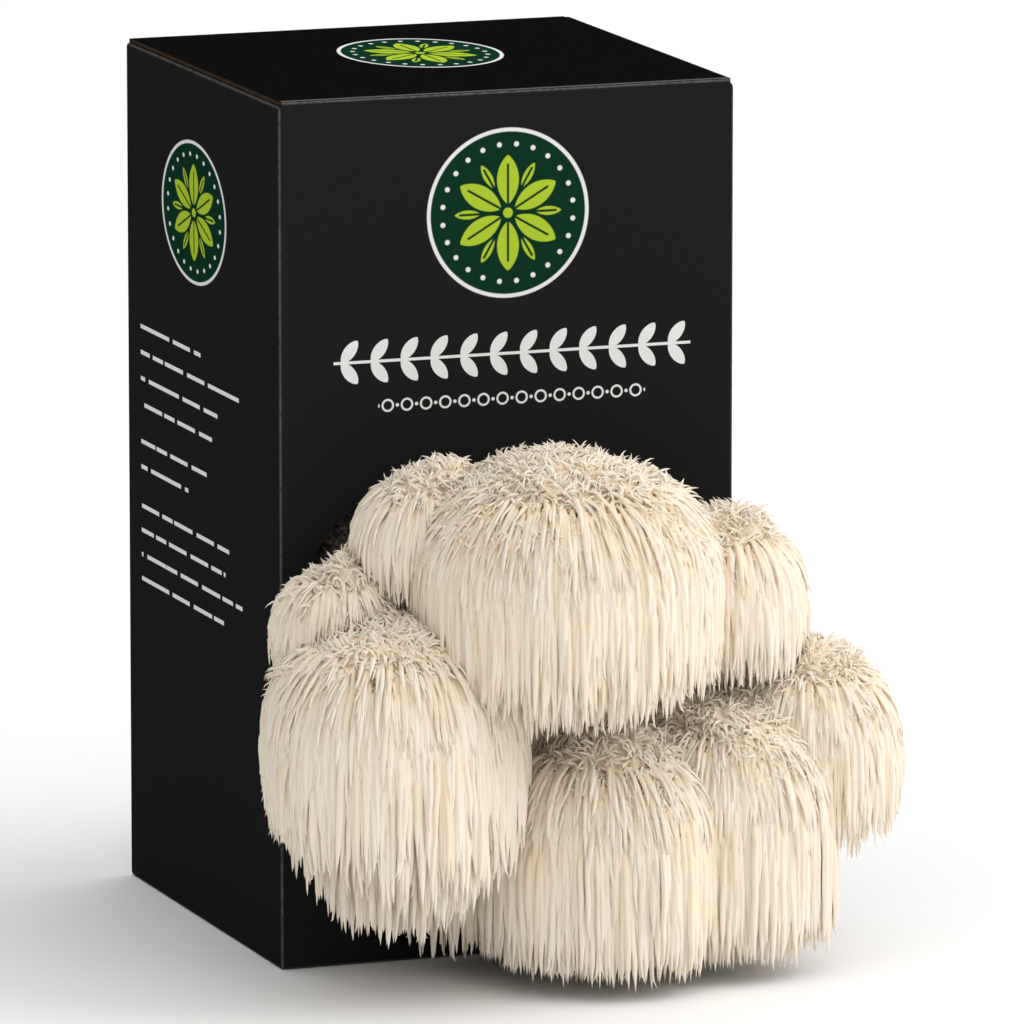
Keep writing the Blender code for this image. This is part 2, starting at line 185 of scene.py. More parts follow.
class Graph:
    """A shader node tree with short calls that add its nodes and link them."""

    def __init__(self, tree: bpy.types.NodeTree) -> None:
        """Wrap the tree of a material, a world or a node group."""
        self.tree = tree

    def feed(self, socket: Socket, value: "Field | Socket | Constant | None") -> None:
        """Link a value to an input, or set it there.

        Args:
            socket: the input.
            value: what feeds it, or None to leave it as it is.
        """
        if value is None:
            return
        if isinstance(value, Field):
            value = value.socket
        if isinstance(value, Socket):
            self.tree.links.new(value, socket)
        elif socket.type == "RGBA" and len(value) == 3:
            socket.default_value = (*value, 1.0)
        else:
            socket.default_value = value

    def add(self, kind: str, *inputs: object, **settings: object) -> bpy.types.Node:
        """Add a node.

        Args:
            kind: the node's type.
            inputs: what feeds its inputs, in order.
            settings: its attributes.

        Returns:
            The node.
        """
        node = self.tree.nodes.new(kind)
        for name, value in settings.items():
            setattr(node, name, value)
        for socket, value in zip(node.inputs, inputs):
            self.feed(socket, value)
        return node

    def maths(self, operation: str, *values: "Field | float") -> Field:
        """Return the result of a Math node."""
        return Field(self, self.add("ShaderNodeMath", *values, operation=operation).outputs[0])

    def place(self) -> tuple[Field, Field, Field]:
        """Return the object coordinates X, Y and Z."""
        spot = self.add("ShaderNodeTexCoord").outputs["Object"]
        return self.split(spot)

    def facing(self) -> tuple[Field, Field, Field]:
        """Return the surface normal's X, Y and Z in the object's own frame."""
        return self.split(self.add("ShaderNodeTexCoord").outputs["Normal"])

    def split(self, vector: Socket) -> tuple[Field, Field, Field]:
        """Return a vector's three parts."""
        node = self.add("ShaderNodeSeparateXYZ", vector)
        return tuple(Field(self, output) for output in node.outputs)

    def attribute(self, name: str) -> Field:
        """Return a value kept on the mesh's vertices."""
        return Field(self, self.add("ShaderNodeAttribute", attribute_name=name).outputs["Fac"])

    def noise(
        self, scale: float, detail: float = 3.0, stretch: Place = (1.0, 1.0, 1.0)
    ) -> Field:
        """Return a noise from 0 to 1 on the object coordinates.

        Args:
            scale: how fine it is, in waves per metre.
            detail: how many finer waves it holds.
            stretch: the scale along each axis, to draw it out into fibres.

        Returns:
            The noise.
        """
        spot = self.add("ShaderNodeTexCoord").outputs["Object"]
        moved = self.add("ShaderNodeMapping", spot, (0, 0, 0), (0, 0, 0), stretch).outputs[0]
        node = self.add("ShaderNodeTexNoise", moved)
        node.inputs["Scale"].default_value = scale
        node.inputs["Detail"].default_value = detail
        return Field(self, node.outputs[0])

    def blend(
        self, share: Field | float, first: "Socket | Colour", second: "Socket | Colour"
    ) -> Socket:
        """Return a colour between two colours.

        Args:
            share: how much of the second there is, from 0 to 1.
            first: the first colour.
            second: the second colour.

        Returns:
            The mixed colour.
        """
        node = self.add("ShaderNodeMix", data_type="RGBA", clamp_factor=True)
        self.feed(node.inputs[0], share)
        self.feed(node.inputs[6], first)
        self.feed(node.inputs[7], second)
        return node.outputs[2]

    def relief(self, height: Field, distance: float, strength: float = 1.0) -> Socket:
        """Return the normal of a surface with small relief.

        Args:
            height: the relief, from 0 to 1.
            distance: how deep the whole relief is.
            strength: how much of it shows.

        Returns:
            The normal.
        """
        node = self.add("ShaderNodeBump")
        node.inputs["Strength"].default_value = strength
        node.inputs["Distance"].default_value = distance
        self.feed(node.inputs["Height"], height)
        return node.outputs["Normal"]

    def use(self, group: bpy.types.NodeTree, **inputs: "Field | Constant") -> dict[str, Field]:
        """Place a node group.

        Args:
            group: the group.
            inputs: what feeds its inputs, by name.

        Returns:
            Its outputs by name.
        """
        node = self.add("ShaderNodeGroup", node_tree=group)
        for name, value in inputs.items():
            self.feed(node.inputs[name], value)
        return {output.name: Field(self, output) for output in node.outputs}


class SharedEffect:
    """A node group that several finishes place, with named inputs and outputs."""

    def __init__(self, name: str, inputs: dict[str, float], outputs: Sequence[str]) -> None:
        """Make the empty group.

        Args:
            name: the group's name.
            inputs: each input's name and first value.
            outputs: the outputs' names, all plain values.
        """
        self.group = bpy.data.node_groups.new(name, "ShaderNodeTree")
        for title, first in inputs.items():
            made = self.group.interface.new_socket(
                name=title, in_out="INPUT", socket_type="NodeSocketFloat"
            )
            made.default_value = first
        for title in outputs:
            self.group.interface.new_socket(
                name=title, in_out="OUTPUT", socket_type="NodeSocketFloat"
            )
        self.graph = Graph(self.group)
        entry = self.graph.add("NodeGroupInput")
        self.inputs = {s.name: Field(self.graph, s) for s in entry.outputs if s.name}
        self.exit = self.graph.add("NodeGroupOutput")

    def give(self, **outputs: Field) -> bpy.types.NodeTree:
        """Link the outputs by name and return the group."""
        for title, value in outputs.items():
            self.graph.feed(self.exit.inputs[title], value)
        return self.group


# Effects shared between finishes


@functools.cache
def fibre_grain() -> bpy.types.NodeTree:
    """Return the grain of pressed fibres: fine specks with a few longer strands."""
    effect = SharedEffect("fibre_grain", {"Coarse": 0.35}, ("Height", "Tone"))
    graph = effect.graph
    specks = graph.noise(2600.0, 2.0)
    along = graph.noise(900.0, 3.0, (0.25, 1.0, 1.0))
    across = graph.noise(900.0, 3.0, (1.0, 1.0, 0.25))
    strands = along.most(across)
    coarse = effect.inputs["Coarse"]
    height = specks * (graph.maths("SUBTRACT", 1.0, coarse)) + strands * coarse
    tone = graph.noise(45.0, 4.0)
    return effect.give(Height=height, Tone=tone)


@functools.cache
def fold_wear_and_highlight() -> bpy.types.NodeTree:
    """Return a lighter band's mask along a fold, from the distance to it, broken up by the grain: partly
    scuffing, partly a painted highlight.
    """
    effect = SharedEffect("fold_wear_and_highlight", {"Distance": 1.0, "Width": 1.0 * MM}, ("Mask",))
    graph = effect.graph
    share = effect.inputs["Distance"] / effect.inputs["Width"]
    near = share.spread(1.0, 0.25)
    broken = graph.noise(700.0, 3.0).spread(0.30, 0.62, 0.45, 1.0)
    return effect.give(Mask=near * broken)


@functools.cache
def leaf_roundel() -> bpy.types.NodeTree:
    """Return a round emblem of six veined leaves in a ring of beads, in units of its radius."""
    effect = SharedEffect("leaf_roundel", {"Across": 0.0, "Up": 0.0}, ("Disc", "Rim", "Leaf", "Bead"))
    across, up = effect.inputs["Across"], effect.inputs["Up"]
    radius = (across * across + up * up).apply("SQRT")
    angle = up.apply("ARCTAN2", across)
    edge = 0.008

    def petal_axes(count: int, turn: float) -> tuple[Field, Field]:
        """Return the distances along and beside the nearest of some spokes."""
        slice_angle = math.tau / count
        nearest = (angle + (math.tau * 2 + turn)).repeat(slice_angle)
        return radius * nearest.apply("COSINE"), (radius * nearest.apply("SINE")).abs()

    def leaf(count: int, turn: float, start: float, end: float, width: float) -> Field:
        """Return a wheel of pointed leaves, each with a bare vein."""
        out, aside = petal_axes(count, turn)
        share = ((out - start) / (end - start)).most(0.0).least(1.0)
        bulge = (share * (share * -1.0 + 1.0) * 4.0).apply("POWER", 0.8) * width
        blade = aside.below(bulge, edge) * out.above(start, edge) * out.below(end, edge)
        vein = aside.above(0.014, edge).most(out.above(start + 0.82 * (end - start), edge))
        return blade * vein

    big = leaf(6, math.pi / 2 + math.pi / 6, 0.10, 0.68, 0.135)
    small = leaf(6, math.pi / 2, 0.34, 0.66, 0.052)
    out, aside = petal_axes(24, 0.0)
    bead = ((out - 0.81) * (out - 0.81) + aside * aside).apply("SQRT").below(0.030, edge)
    hub = radius.below(0.060, edge)
    disc = radius.below(1.0, edge)
    rim = disc * radius.above(0.955, edge)
    return effect.give(Disc=disc, Rim=rim, Leaf=big.most(small).most(hub), Bead=bead)


def printed_rule() -> bpy.types.NodeTree:
    """Return one thin broken rule of a given length."""
    inputs = {"Along": 0.0, "Up": 0.0, "Length": 60 * MM, "Phase": 0.0}
    effect = SharedEffect("printed_rule", inputs, ("Mask",))
    along, up, phase = (effect.inputs[n] for n in ("Along", "Up", "Phase"))
    beat = (along * 310.0 + phase).apply("SINE") + (along * 523.0 + phase * 2.3).apply("SINE")
    dashes = beat.above(-1.15, 0.06)
    inside = along.above(0.0) * along.below(effect.inputs["Length"])
    return effect.give(Mask=up.abs().below(0.75 * MM) * inside * dashes)


# Finishes


@dataclass(frozen=True)
class Finish:
    """A material: the constants of its shader, and the nodes that vary the rest."""

    name: str = "finish"
    roughness: float = 0.5
    specular: float = 0.5

    def start(self) -> tuple[bpy.types.Material, Graph, bpy.types.Node]:
        """Return a new material, its graph and its shader."""
        material = bpy.data.materials.new(self.name)
        material.use_nodes = True
        shader = material.node_tree.nodes["Principled BSDF"]
        shader.inputs["Roughness"].default_value = self.roughness
        shader.inputs["Specular IOR Level"].default_value = self.specular
        return material, Graph(material.node_tree), shader

    def build(self) -> bpy.types.Material:
        """Return the material."""
        raise NotImplementedError


@dataclass(frozen=True)
class BlackCard(Finish):
    """Black printed board: brown at its cut edges and inside, lighter along its folds, partly worn there and
    partly a painted highlight.
    """

    name: str = "black_card"
    roughness: float = 0.50
    specular: float = 0.0
    is_lid: bool = False
    black: Colour = (0.0150, 0.0150, 0.0153)
    # Light grey along the folds: partly worn board, partly a painted highlight.
    fold_highlight_and_wear: Colour = (0.125, 0.123, 0.120)
    kraft: Colour = (0.060, 0.038, 0.024)
    kraft_dark: Colour = (0.036, 0.023, 0.015)
    green: Colour = (0.0052, 0.0340, 0.0176)
    lime: Colour = (0.400, 0.560, 0.035)
    white: Colour = (0.800, 0.800, 0.790)

    def outside(self, graph: Graph) -> Field:
        """Return 1 on the printed side of the blank, and 0 on its back and its cut edges."""
        x, y, z = graph.place()
        nx, ny, nz = graph.facing()
        if self.is_lid:
            tongue = ny * y.above(60 * MM)
            return nz.most(tongue).spread(0.15, 0.45)
        near = 0.6 * MM
        side = x.abs().above(HALF_W - near) * (nx * x.apply("SIGN"))
        end = y.abs().above(HALF_D - near) * (ny * y.apply("SIGN"))
        base = z.below(near) * nz * -1.0
        crest = z.above(HEIGHT - 3.2 * MM) * nz
        return side.most(end).most(base).most(crest).spread(0.15, 0.45)

    def folds(self, graph: Graph) -> Field:
        """Return the distance to the nearest fold."""
        x, y, z = graph.place()
        side = x.abs() * -1.0 + HALF_W
        end = y.abs() * -1.0 + HALF_D
        if self.is_lid:
            return (y * -1.0 + (HALF_D - BOARD - 0.6 * MM)).most(z * -1.0 + HEIGHT)
        upright = side.most(end)
        foot = side.least(end).most(z)
        top = end.most(z * -1.0 + HEIGHT)
        shoulder = side.most(z * -1.0 + (HEIGHT - 1.5 * MM))
        return upright.least(foot).least(top).least(shoulder)

    def emblem(self, graph: Graph, across: Field, up: Field) -> Socket:
        """Return the black of the board with the leaf emblem on it.

        Args:
            graph: the material's graph.
            across: the place across, in units of the emblem's half width.
            up: the place up, in units of its half height.

        Returns:
            The colour.
        """
        marks = graph.use(leaf_roundel(), Across=across, Up=up)
        inked = graph.blend(marks["Disc"], self.black, self.green)
        inked = graph.blend(marks["Leaf"], inked, self.lime)
        inked = graph.blend(marks["Bead"], inked, self.white)
        return graph.blend(marks["Rim"], inked, self.white)

    def garland(self, x: Field, z: Field) -> Field:
        """Return the front's leafy garland, a stem with a pair of leaves every few millimetres."""
        pitch = 10.8 * MM
        middle = 209.5 * MM
        slant = math.radians(52)
        start, end, leaf_length = -63.0 * MM, 66.6 * MM, 9.4 * MM
        cell = (x - start).repeat(pitch) + 2.6 * MM
        up = (z - middle).abs()
        along = cell * math.cos(slant) + up * math.sin(slant)
        aside = (up * math.cos(slant) - cell * math.sin(slant)).abs()
        share = (along / leaf_length).most(0.0).least(1.0)
        bulge = (share * (share * -1.0 + 1.0) * 4.0).apply("POWER", 0.7) * (2.15 * MM)
        leaf = aside.below(bulge) * along.above(0.0) * along.below(leaf_length)
        inside = x.above(start) * x.below(end)
        return leaf.most(up.below(0.5 * MM)) * inside

    def beads(self, x: Field, z: Field) -> Field:
        """Return the front's row of small rings and dots under the garland."""
        start, end, middle = -47.0 * MM, 50.0 * MM, 194.0 * MM
        pitch = 6.9286 * MM
        up = z - middle
        cell = (x - start).repeat(pitch)
        ring = ((cell * cell + up * up).apply("SQRT") - 1.9 * MM).abs().below(0.36 * MM)
        between = (x - (start + pitch / 2)).repeat(pitch)
        dot = (between * between + up * up).apply("SQRT").below(0.62 * MM)
        return ring.most(dot) * x.above(start) * x.below(end)

    def side_rules(self, graph: Graph, y: Field, z: Field) -> Field:
        """Return the plain broken rules on the carton's left side."""
        group = printed_rule()
        lines = (
            (200.0, 66, 0.0), (190.8, 108, 1.9), (181.5, 84, 3.1), (172.3, 78, 4.4),
            (159.0, 72, 0.8), (150.0, 52, 2.6),
            (136.0, 96, 5.2), (127.3, 92, 1.2), (118.6, 110, 3.8), (110.0, 90, 0.4),
        )
        start = 67.5 * MM
        mask = None
        for level, length, phase in lines:
            marks = graph.use(
                group,
                Along=y * -1.0 + start,
                Up=z - level * MM,
                Length=length * MM,
                Phase=phase,
            )
            mask = marks["Mask"] if mask is None else mask.most(marks["Mask"])
        return mask

    def build(self) -> bpy.types.Material:
        """Return the material, with the prints that belong on its part of the blank."""
        material, graph, shader = self.start()
        x, y, z = graph.place()
        if self.is_lid:
            printed = self.emblem(graph, (x - 2 * MM) / (28 * MM), (y - 12 * MM) / (36 * MM))
        else:
            front = y.below(-HALF_D + 0.2 * MM)
            left = x.below(-HALF_W + 0.2 * MM)
            on_front = self.emblem(graph, x / (29.3 * MM), (z - 258 * MM) / (29.3 * MM))
            pattern = self.garland(x, z).most(self.beads(x, z))
            on_front = graph.blend(pattern, on_front, self.white)
            on_left = self.emblem(graph, (y - 8 * MM) / (-35 * MM), (z - 249 * MM) / (25 * MM))
            on_left = graph.blend(self.side_rules(graph, y, z), on_left, self.white)
            printed = graph.blend(front, self.black, on_front)
            printed = graph.blend(left, printed, on_left)
        grain = graph.use(fibre_grain(), Coarse=0.35)
        # Lighten the folds: partly worn board, partly a painted highlight where light catches them.
        wear_and_highlight = graph.use(fold_wear_and_highlight(), Distance=self.folds(graph), Width=1.1 * MM)
        printed = graph.blend(wear_and_highlight["Mask"], printed, self.fold_highlight_and_wear)
        raw = graph.blend(grain["Height"].spread(0.35, 0.7), self.kraft_dark, self.kraft)
        outside = self.outside(graph)
        graph.feed(shader.inputs["Base Color"], graph.blend(outside, raw, printed))
        satin = grain["Tone"].spread(0.3, 0.7, self.roughness - 0.02, self.roughness + 0.02)
        rough = outside * (satin - 0.9) + 0.9
        graph.feed(shader.inputs["Roughness"], rough)
        graph.feed(shader.inputs["Normal"], graph.relief(grain["Height"], 0.03 * MM))
        return material


@dataclass(frozen=True)
class Sawdust(Finish):
    """Pressed sawdust, grown through by white mycelium."""

    name: str = "sawdust_block"
    roughness: float = 0.92
    specular: float = 0.2
    dark: Colour = (0.024, 0.013, 0.007)
    light: Colour = (0.085, 0.047, 0.024)
    mycelium: Colour = (0.240, 0.200, 0.150)

    def build(self) -> bpy.types.Material:
        """Return the material."""
        material, graph, shader = self.start()
        chips = graph.add("ShaderNodeTexVoronoi", graph.add("ShaderNodeTexCoord").outputs["Object"])
        chips.inputs["Scale"].default_value = 420.0
        tone = Field(graph, graph.add("ShaderNodeSeparateColor", chips.outputs["Color"]).outputs[0])
        wood = graph.blend(tone, self.dark, self.light)
        patches = graph.noise(26.0, 5.0).spread(0.44, 0.62)
        threads = graph.noise(240.0, 4.0).spread(0.42, 0.66)
        white = patches * (threads * 0.6 + 0.4)
        graph.feed(shader.inputs["Base Color"], graph.blend(white, wood, self.mycelium))
        height = Field(graph, chips.outputs["Distance"]) * -400.0 + 1.0 + threads * 0.4
        graph.feed(shader.inputs["Normal"], graph.relief(height, 0.6 * MM))
        return material


@dataclass(frozen=True)
class ClearFilm(Finish):
    """Thin clear film with fine creases and a little haze."""

    name: str = "clear_film"
    roughness: float = 0.16
    specular: float = 0.5
    tint: Colour = (0.080, 0.082, 0.080)
    opacity: float = 0.06

    def build(self) -> bpy.types.Material:
        """Return the material."""
        material, graph, shader = self.start()
        creases = (graph.noise(34.0, 3.0) - 0.5).abs() * 2.0
        fine = (graph.noise(130.0, 3.0) - 0.5).abs() * 2.0
        ridges = creases.spread(0.0, 0.16, 1.0, 0.0)
        height = ridges * 0.7 + fine.spread(0.0, 0.2, 0.4, 0.0)
        graph.feed(shader.inputs["Base Color"], self.tint)
        graph.feed(shader.inputs["Alpha"], ridges * 0.14 + self.opacity)
        graph.feed(shader.inputs["Roughness"], fine.spread(0.0, 0.3, self.roughness + 0.12, self.roughness))
        graph.feed(shader.inputs["Normal"], graph.relief(height, 0.8 * MM))
        return material


@dataclass(frozen=True)
class FilterPaper(Finish):
    """White spun filter with pressed dots and fibres."""

    name: str = "filter_paper"
    roughness: float = 0.88
    specular: float = 0.25
    pale: Colour = (0.800, 0.800, 0.780)
    shaded: Colour = (0.600, 0.600, 0.585)

    def build(self) -> bpy.types.Material:
        """Return the material."""
        material, graph, shader = self.start()
        x, y, _ = graph.place()
        pitch = 1.6 * MM
        across, along = (x + 1.0).repeat(pitch), (y + 1.0).repeat(pitch)
        pressed = (across * across + along * along).apply("SQRT").below(0.42 * MM, 0.12 * MM)
        grain = graph.use(fibre_grain(), Coarse=0.7)
        tone = grain["Height"].spread(0.3, 0.7) * (pressed * -0.5 + 1.0)
        graph.feed(shader.inputs["Base Color"], graph.blend(tone, self.shaded, self.pale))
        height = grain["Height"] - pressed * 0.8
        graph.feed(shader.inputs["Normal"], graph.relief(height, 0.15 * MM))
        return material


@dataclass(frozen=True)
class MushroomFlesh(Finish):
    """Cream flesh: darker and warmer where spines are rooted, partly its colour and partly painted warm
    shade in the gaps between spines, cream along them and white at their tips.
    """

    name: str = "mushroom_flesh"
    roughness: float = 0.60
    specular: float = 0.25
    tan: Colour = (0.900, 0.700, 0.460)
    cream: Colour = (0.925, 0.815, 0.660)
    pale: Colour = (0.945, 0.862, 0.745)
    has_spines: bool = True

    def build(self) -> bpy.types.Material:
        """Return the material."""
        material, graph, shader = self.start()
        if self.has_spines:
            along = graph.attribute("along")
            tone = graph.attribute("tone")
            # Darker and warmer towards the roots: partly the flesh's colour, partly painted warm shade in
            # the gaps between spines.
            colour = graph.blend(along.spread(-0.05, 0.35), self.tan, self.cream)
            white = along.spread(0.20, 0.95, 0.15, 0.90) * (tone * 0.8 + 0.2)
            colour = graph.blend(white, colour, self.pale)
            warm = tone.spread(0.50, 0.0, 0.0, 0.45) * (along * -0.6 + 1.0)
            colour = graph.blend(warm, colour, self.tan)
        else:
            lumps = graph.noise(420.0, 3.0)
            patches = graph.noise(60.0, 2.0).spread(0.3, 0.7)
            colour = graph.blend(patches * 0.5 + lumps * 0.5 + 0.2, self.tan, self.cream)
            graph.feed(shader.inputs["Normal"], graph.relief(lumps, 0.5 * MM))
        graph.feed(shader.inputs["Base Color"], colour)
        return material


# Mesh helpers


def link(name: str, data: bpy.types.ID) -> bpy.types.Object:
    """Return a new object with some data, linked to the scene."""
    made = bpy.data.objects.new(name, data)
    bpy.context.scene.collection.objects.link(made)
    return made


def aim(made: bpy.types.Object, place: Place, goal: Place) -> None:
    """Put a lamp or a camera at a place and turn it to look at another."""
    made.location = place
    look = Vector(goal) - Vector(place)
    made.rotation_euler = look.to_track_quat("-Z", "Y").to_euler()


def extend(
    bm: bmesh.types.BMesh, rim: list[bmesh.types.BMEdge], step: Place
) -> tuple[list[bmesh.types.BMVert], list[bmesh.types.BMEdge]]:
    """Extrude the rim of a sheet or a tube by one step.

    Args:
        bm: the mesh.
        rim: the edges that are extruded.
        step: how far the new rim lies from the old one.

    Returns:
        The new rim's vertices and edges.
    """
    grown = bmesh.ops.extrude_edge_only(bm, edges=rim)["geom"]
    verts = [g for g in grown if isinstance(g, bmesh.types.BMVert)]
    bmesh.ops.translate(bm, vec=step, verts=verts)
    return verts, [g for g in grown if isinstance(g, bmesh.types.BMEdge)]


def as_piece(
    name: str, bm: bmesh.types.BMesh, material: bpy.types.Material, smooth: bool = True
) -> bpy.types.Object:
    """Turn a bmesh into an object at the origin.

    Args:
        name: the piece's name.
        material: its finish.
        smooth: whether it is shaded smooth.

    Returns:
        The object.
    """
    mesh = bpy.data.meshes.new(name)
    bm.to_mesh(mesh)
    bm.free()
    if smooth:
        mesh.shade_smooth()
    mesh.materials.append(material)
    return link(name, mesh)


def enlist(
    piece: bpy.types.Object, body: Body, stands_for: Iterable[str] = ()
) -> bpy.types.Object:
    """Make a piece ride on a body and hide the nodes that it stands for.

    Args:
        piece: the piece.
        body: what it moves with.
        stands_for: the nodes that it replaces.

    Returns:
        The piece.
    """
    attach(piece, body.value)
    for node in stands_for:
        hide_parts(node)
    log.info("%s: %d faces", piece.name, len(piece.data.polygons))
    return piece


def dress_node(name: str, material: bpy.types.Material) -> None:
    """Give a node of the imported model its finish.

    Args:
        name: the node's name.
        material: the finish.
    """
    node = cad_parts[name]
    node.data.materials.clear()
    node.data.materials.append(material)
    log.info("%s: kept, %d faces", name, len(node.data.polygons))


def unit(vectors: np.ndarray) -> np.ndarray:
    """Return vectors at length one."""
    return vectors / np.maximum(np.linalg.norm(vectors, axis=-1, keepdims=True), 1e-9)


def ease(values: np.ndarray, low: float, high: float) -> np.ndarray:
    """Return 0 under low, 1 over high and a smooth step between."""
    share = np.clip((values - low) / (high - low), 0.0, 1.0)
    return share * share * (3 - 2 * share)


# The mushroom


@dataclass(frozen=True)
class SpineForm:
    """The shape of one kind of spine, a tapering tube with a point."""

    sides: int
    stations: tuple[float, ...]
    radius: float
    taper: float
    tip_share: float = 0.22

    def template(self) -> bmesh.types.BMesh:
        """Return one upright spine of radius 1, whose rings lie at heights 0, 1, 2 and so on."""
        bm = bmesh.new()
        bmesh.ops.create_circle(bm, cap_ends=True, segments=self.sides, radius=1.0)
        rim = list(bm.edges)
        for _ in self.stations[1:]:
            verts, rim = extend(bm, rim, (0, 0, 1))
        bmesh.ops.pointmerge(bm, verts=verts, merge_co=(0, 0, len(self.stations) - 1))
        bmesh.ops.recalc_face_normals(bm, faces=bm.faces)
        bm.verts.index_update()
        return bm

    def widths(self, lengths: np.ndarray) -> np.ndarray:
        """Return the share of the full radius at each station.

        Args:
            lengths: how long each spine is.

        Returns:
            For each spine, one share for each station.
        """
        share = np.array(self.stations)[None, :]
        end = np.minimum(self.taper, 0.75 * lengths)[:, None]
        body = ease((1 - share) * lengths[:, None] / end, 0.0, 1.0)
        foot = 0.82 + 0.18 * ease(share, 0.0, 0.15)
        return foot * (self.tip_share + (1 - self.tip_share) * body)


@dataclass
class Tuft:
    """Many spines of one form: the line that each follows, its thickness and its tone."""

    form: SpineForm
    lines: np.ndarray
    thickness: np.ndarray
    tone: np.ndarray
    sideways: np.ndarray
    outward: np.ndarray

    def arrays(self) -> dict[str, np.ndarray]:
        """Return the points, the faces' corners and starts, and the values on the vertices."""
        bm = self.form.template()
        points = np.array([v.co for v in bm.verts])
        corners = np.array([loop.vert.index for face in bm.faces for loop in face.loops])
        sizes = np.array([len(face.verts) for face in bm.faces])
        bm.free()
        station = np.rint(points[:, 2]).astype(int)
        count = len(self.lines)

        ahead = unit(np.gradient(self.lines, axis=1))
        beside = self.sideways[:, None, :]
        beside = unit(beside - (beside * ahead).sum(-1, keepdims=True) * ahead)
        over = np.cross(ahead, beside)
        lengths = np.linalg.norm(np.diff(self.lines, axis=1), axis=-1).sum(1)
        widths = self.form.widths(lengths) * self.thickness[:, None]
        placed = (
            self.lines[:, station]
            + points[None, :, 0:1] * widths[:, station, None] * beside[:, station]
            + points[None, :, 1:2] * widths[:, station, None] * over[:, station]
        )
        along = np.array(self.form.stations)[station]
        starts = np.concatenate([[0], np.cumsum(sizes)[:-1]])
        shift = np.arange(count)[:, None]
        return {
            "points": placed.reshape(-1, 3),
            "corners": (corners[None, :] + shift * len(points)).ravel(),
            "starts": (starts[None, :] + shift * len(corners)).ravel(),
            "along": np.tile(along, count),
            "tone": np.repeat(self.tone, len(points)),
            "outward": self.outward[:, station].reshape(-1, 3),
        }


def spines_mesh(name: str, tufts: Sequence[Tuft]) -> bpy.types.Mesh:
    """Return one mesh of all the spines of some tufts.

    Args:
        name: the mesh's name.
        tufts: the tufts.

    Returns:
        The mesh, with the values "along" and "tone" on its vertices, and with normals drawn a
        little towards the lobe's own, as light spreads among fine spines.
    """
    sets = [tuft.arrays() for tuft in tufts]
    first_point = np.cumsum([0] + [len(s["points"]) for s in sets])
    first_corner = np.cumsum([0] + [len(s["corners"]) for s in sets])
    points = np.concatenate([s["points"] for s in sets])
    corners = np.concatenate([s["corners"] + n for s, n in zip(sets, first_point)])
    starts = np.concatenate([s["starts"] + n for s, n in zip(sets, first_corner)])
    mesh = bpy.data.meshes.new(name)
    mesh.vertices.add(len(points))
    mesh.vertices.foreach_set("co", points.astype(np.float32).ravel())
    mesh.loops.add(len(corners))
    mesh.loops.foreach_set("vertex_index", corners.astype(np.int32))
    mesh.polygons.add(len(starts))
    mesh.polygons.foreach_set("loop_start", starts.astype(np.int32))
    for title in ("along", "tone"):
        kept = mesh.attributes.new(title, "FLOAT", "POINT")
        kept.data.foreach_set("value", np.concatenate([s[title] for s in sets]).astype(np.float32))
    mesh.update(calc_edges=True)
    mesh.shade_smooth()
    own = np.empty(len(points) * 3, dtype=np.float32)
    mesh.vertex_normals.foreach_get("vector", own)
    outward = np.concatenate([s["outward"] for s in sets])
    soft = unit(own.reshape(-1, 3) * (1 - SOFTNESS) + outward * SOFTNESS)
    mesh.normals_split_custom_set_from_vertices(soft.tolist())
    return mesh


STRAND = SpineForm(5, (0.0, 0.10, 0.25, 0.42, 0.59, 0.74, 0.86, 0.94, 1.0), 1.18 * MM, 14 * MM)
LOCK = SpineForm(4, (0.0, 0.14, 0.32, 0.51, 0.70, 0.87, 1.0), 0.84 * MM, 10 * MM)
CURL = SpineForm(4, (0.0, 0.18, 0.38, 0.58, 0.80, 1.0), 0.62 * MM, 6 * MM)
STRIDE = 1.5 * MM
SOFTNESS = 0.30


def press_back(y: np.ndarray, limit: float) -> np.ndarray:
    """Return depths squeezed softly in front of a limit, as flesh pressed on the carton."""
    knee = limit - BACK_SOFTNESS
    squeezed = limit - BACK_SOFTNESS * np.exp(-np.maximum(y - knee, 0.0) / BACK_SOFTNESS)
    return np.where(y <= knee, y, squeezed)


def cut_to_length(lines: np.ndarray, ends: np.ndarray, shares: Sequence[float]) -> np.ndarray:
    """Return points at given shares of the first part of each line.

    Args:
        lines: for each spine, the points it passes.
        ends: how much of each line is kept, as a length.
        shares: where on the kept part the points are wanted.

    Returns:
        For each spine, one point for each share.
    """
    steps = np.linalg.norm(np.diff(lines, axis=1), axis=-1)
    reach = np.concatenate([np.zeros((len(lines), 1)), np.cumsum(steps, axis=1)], axis=1)
    rows = np.arange(len(lines))
    found = []
    for share in shares:
        goal = np.minimum(ends * share, reach[:, -1] - 1e-6)
        after = np.clip((reach < goal[:, None]).sum(1), 1, lines.shape[1] - 1)
        before = after - 1
        gap = np.maximum(reach[rows, after] - reach[rows, before], 1e-9)
        mix = np.clip((goal - reach[rows, before]) / gap, 0.0, 1.0)[:, None]
        found.append(lines[rows, before] * (1 - mix) + lines[rows, after] * mix)
    return np.stack(found, axis=1)


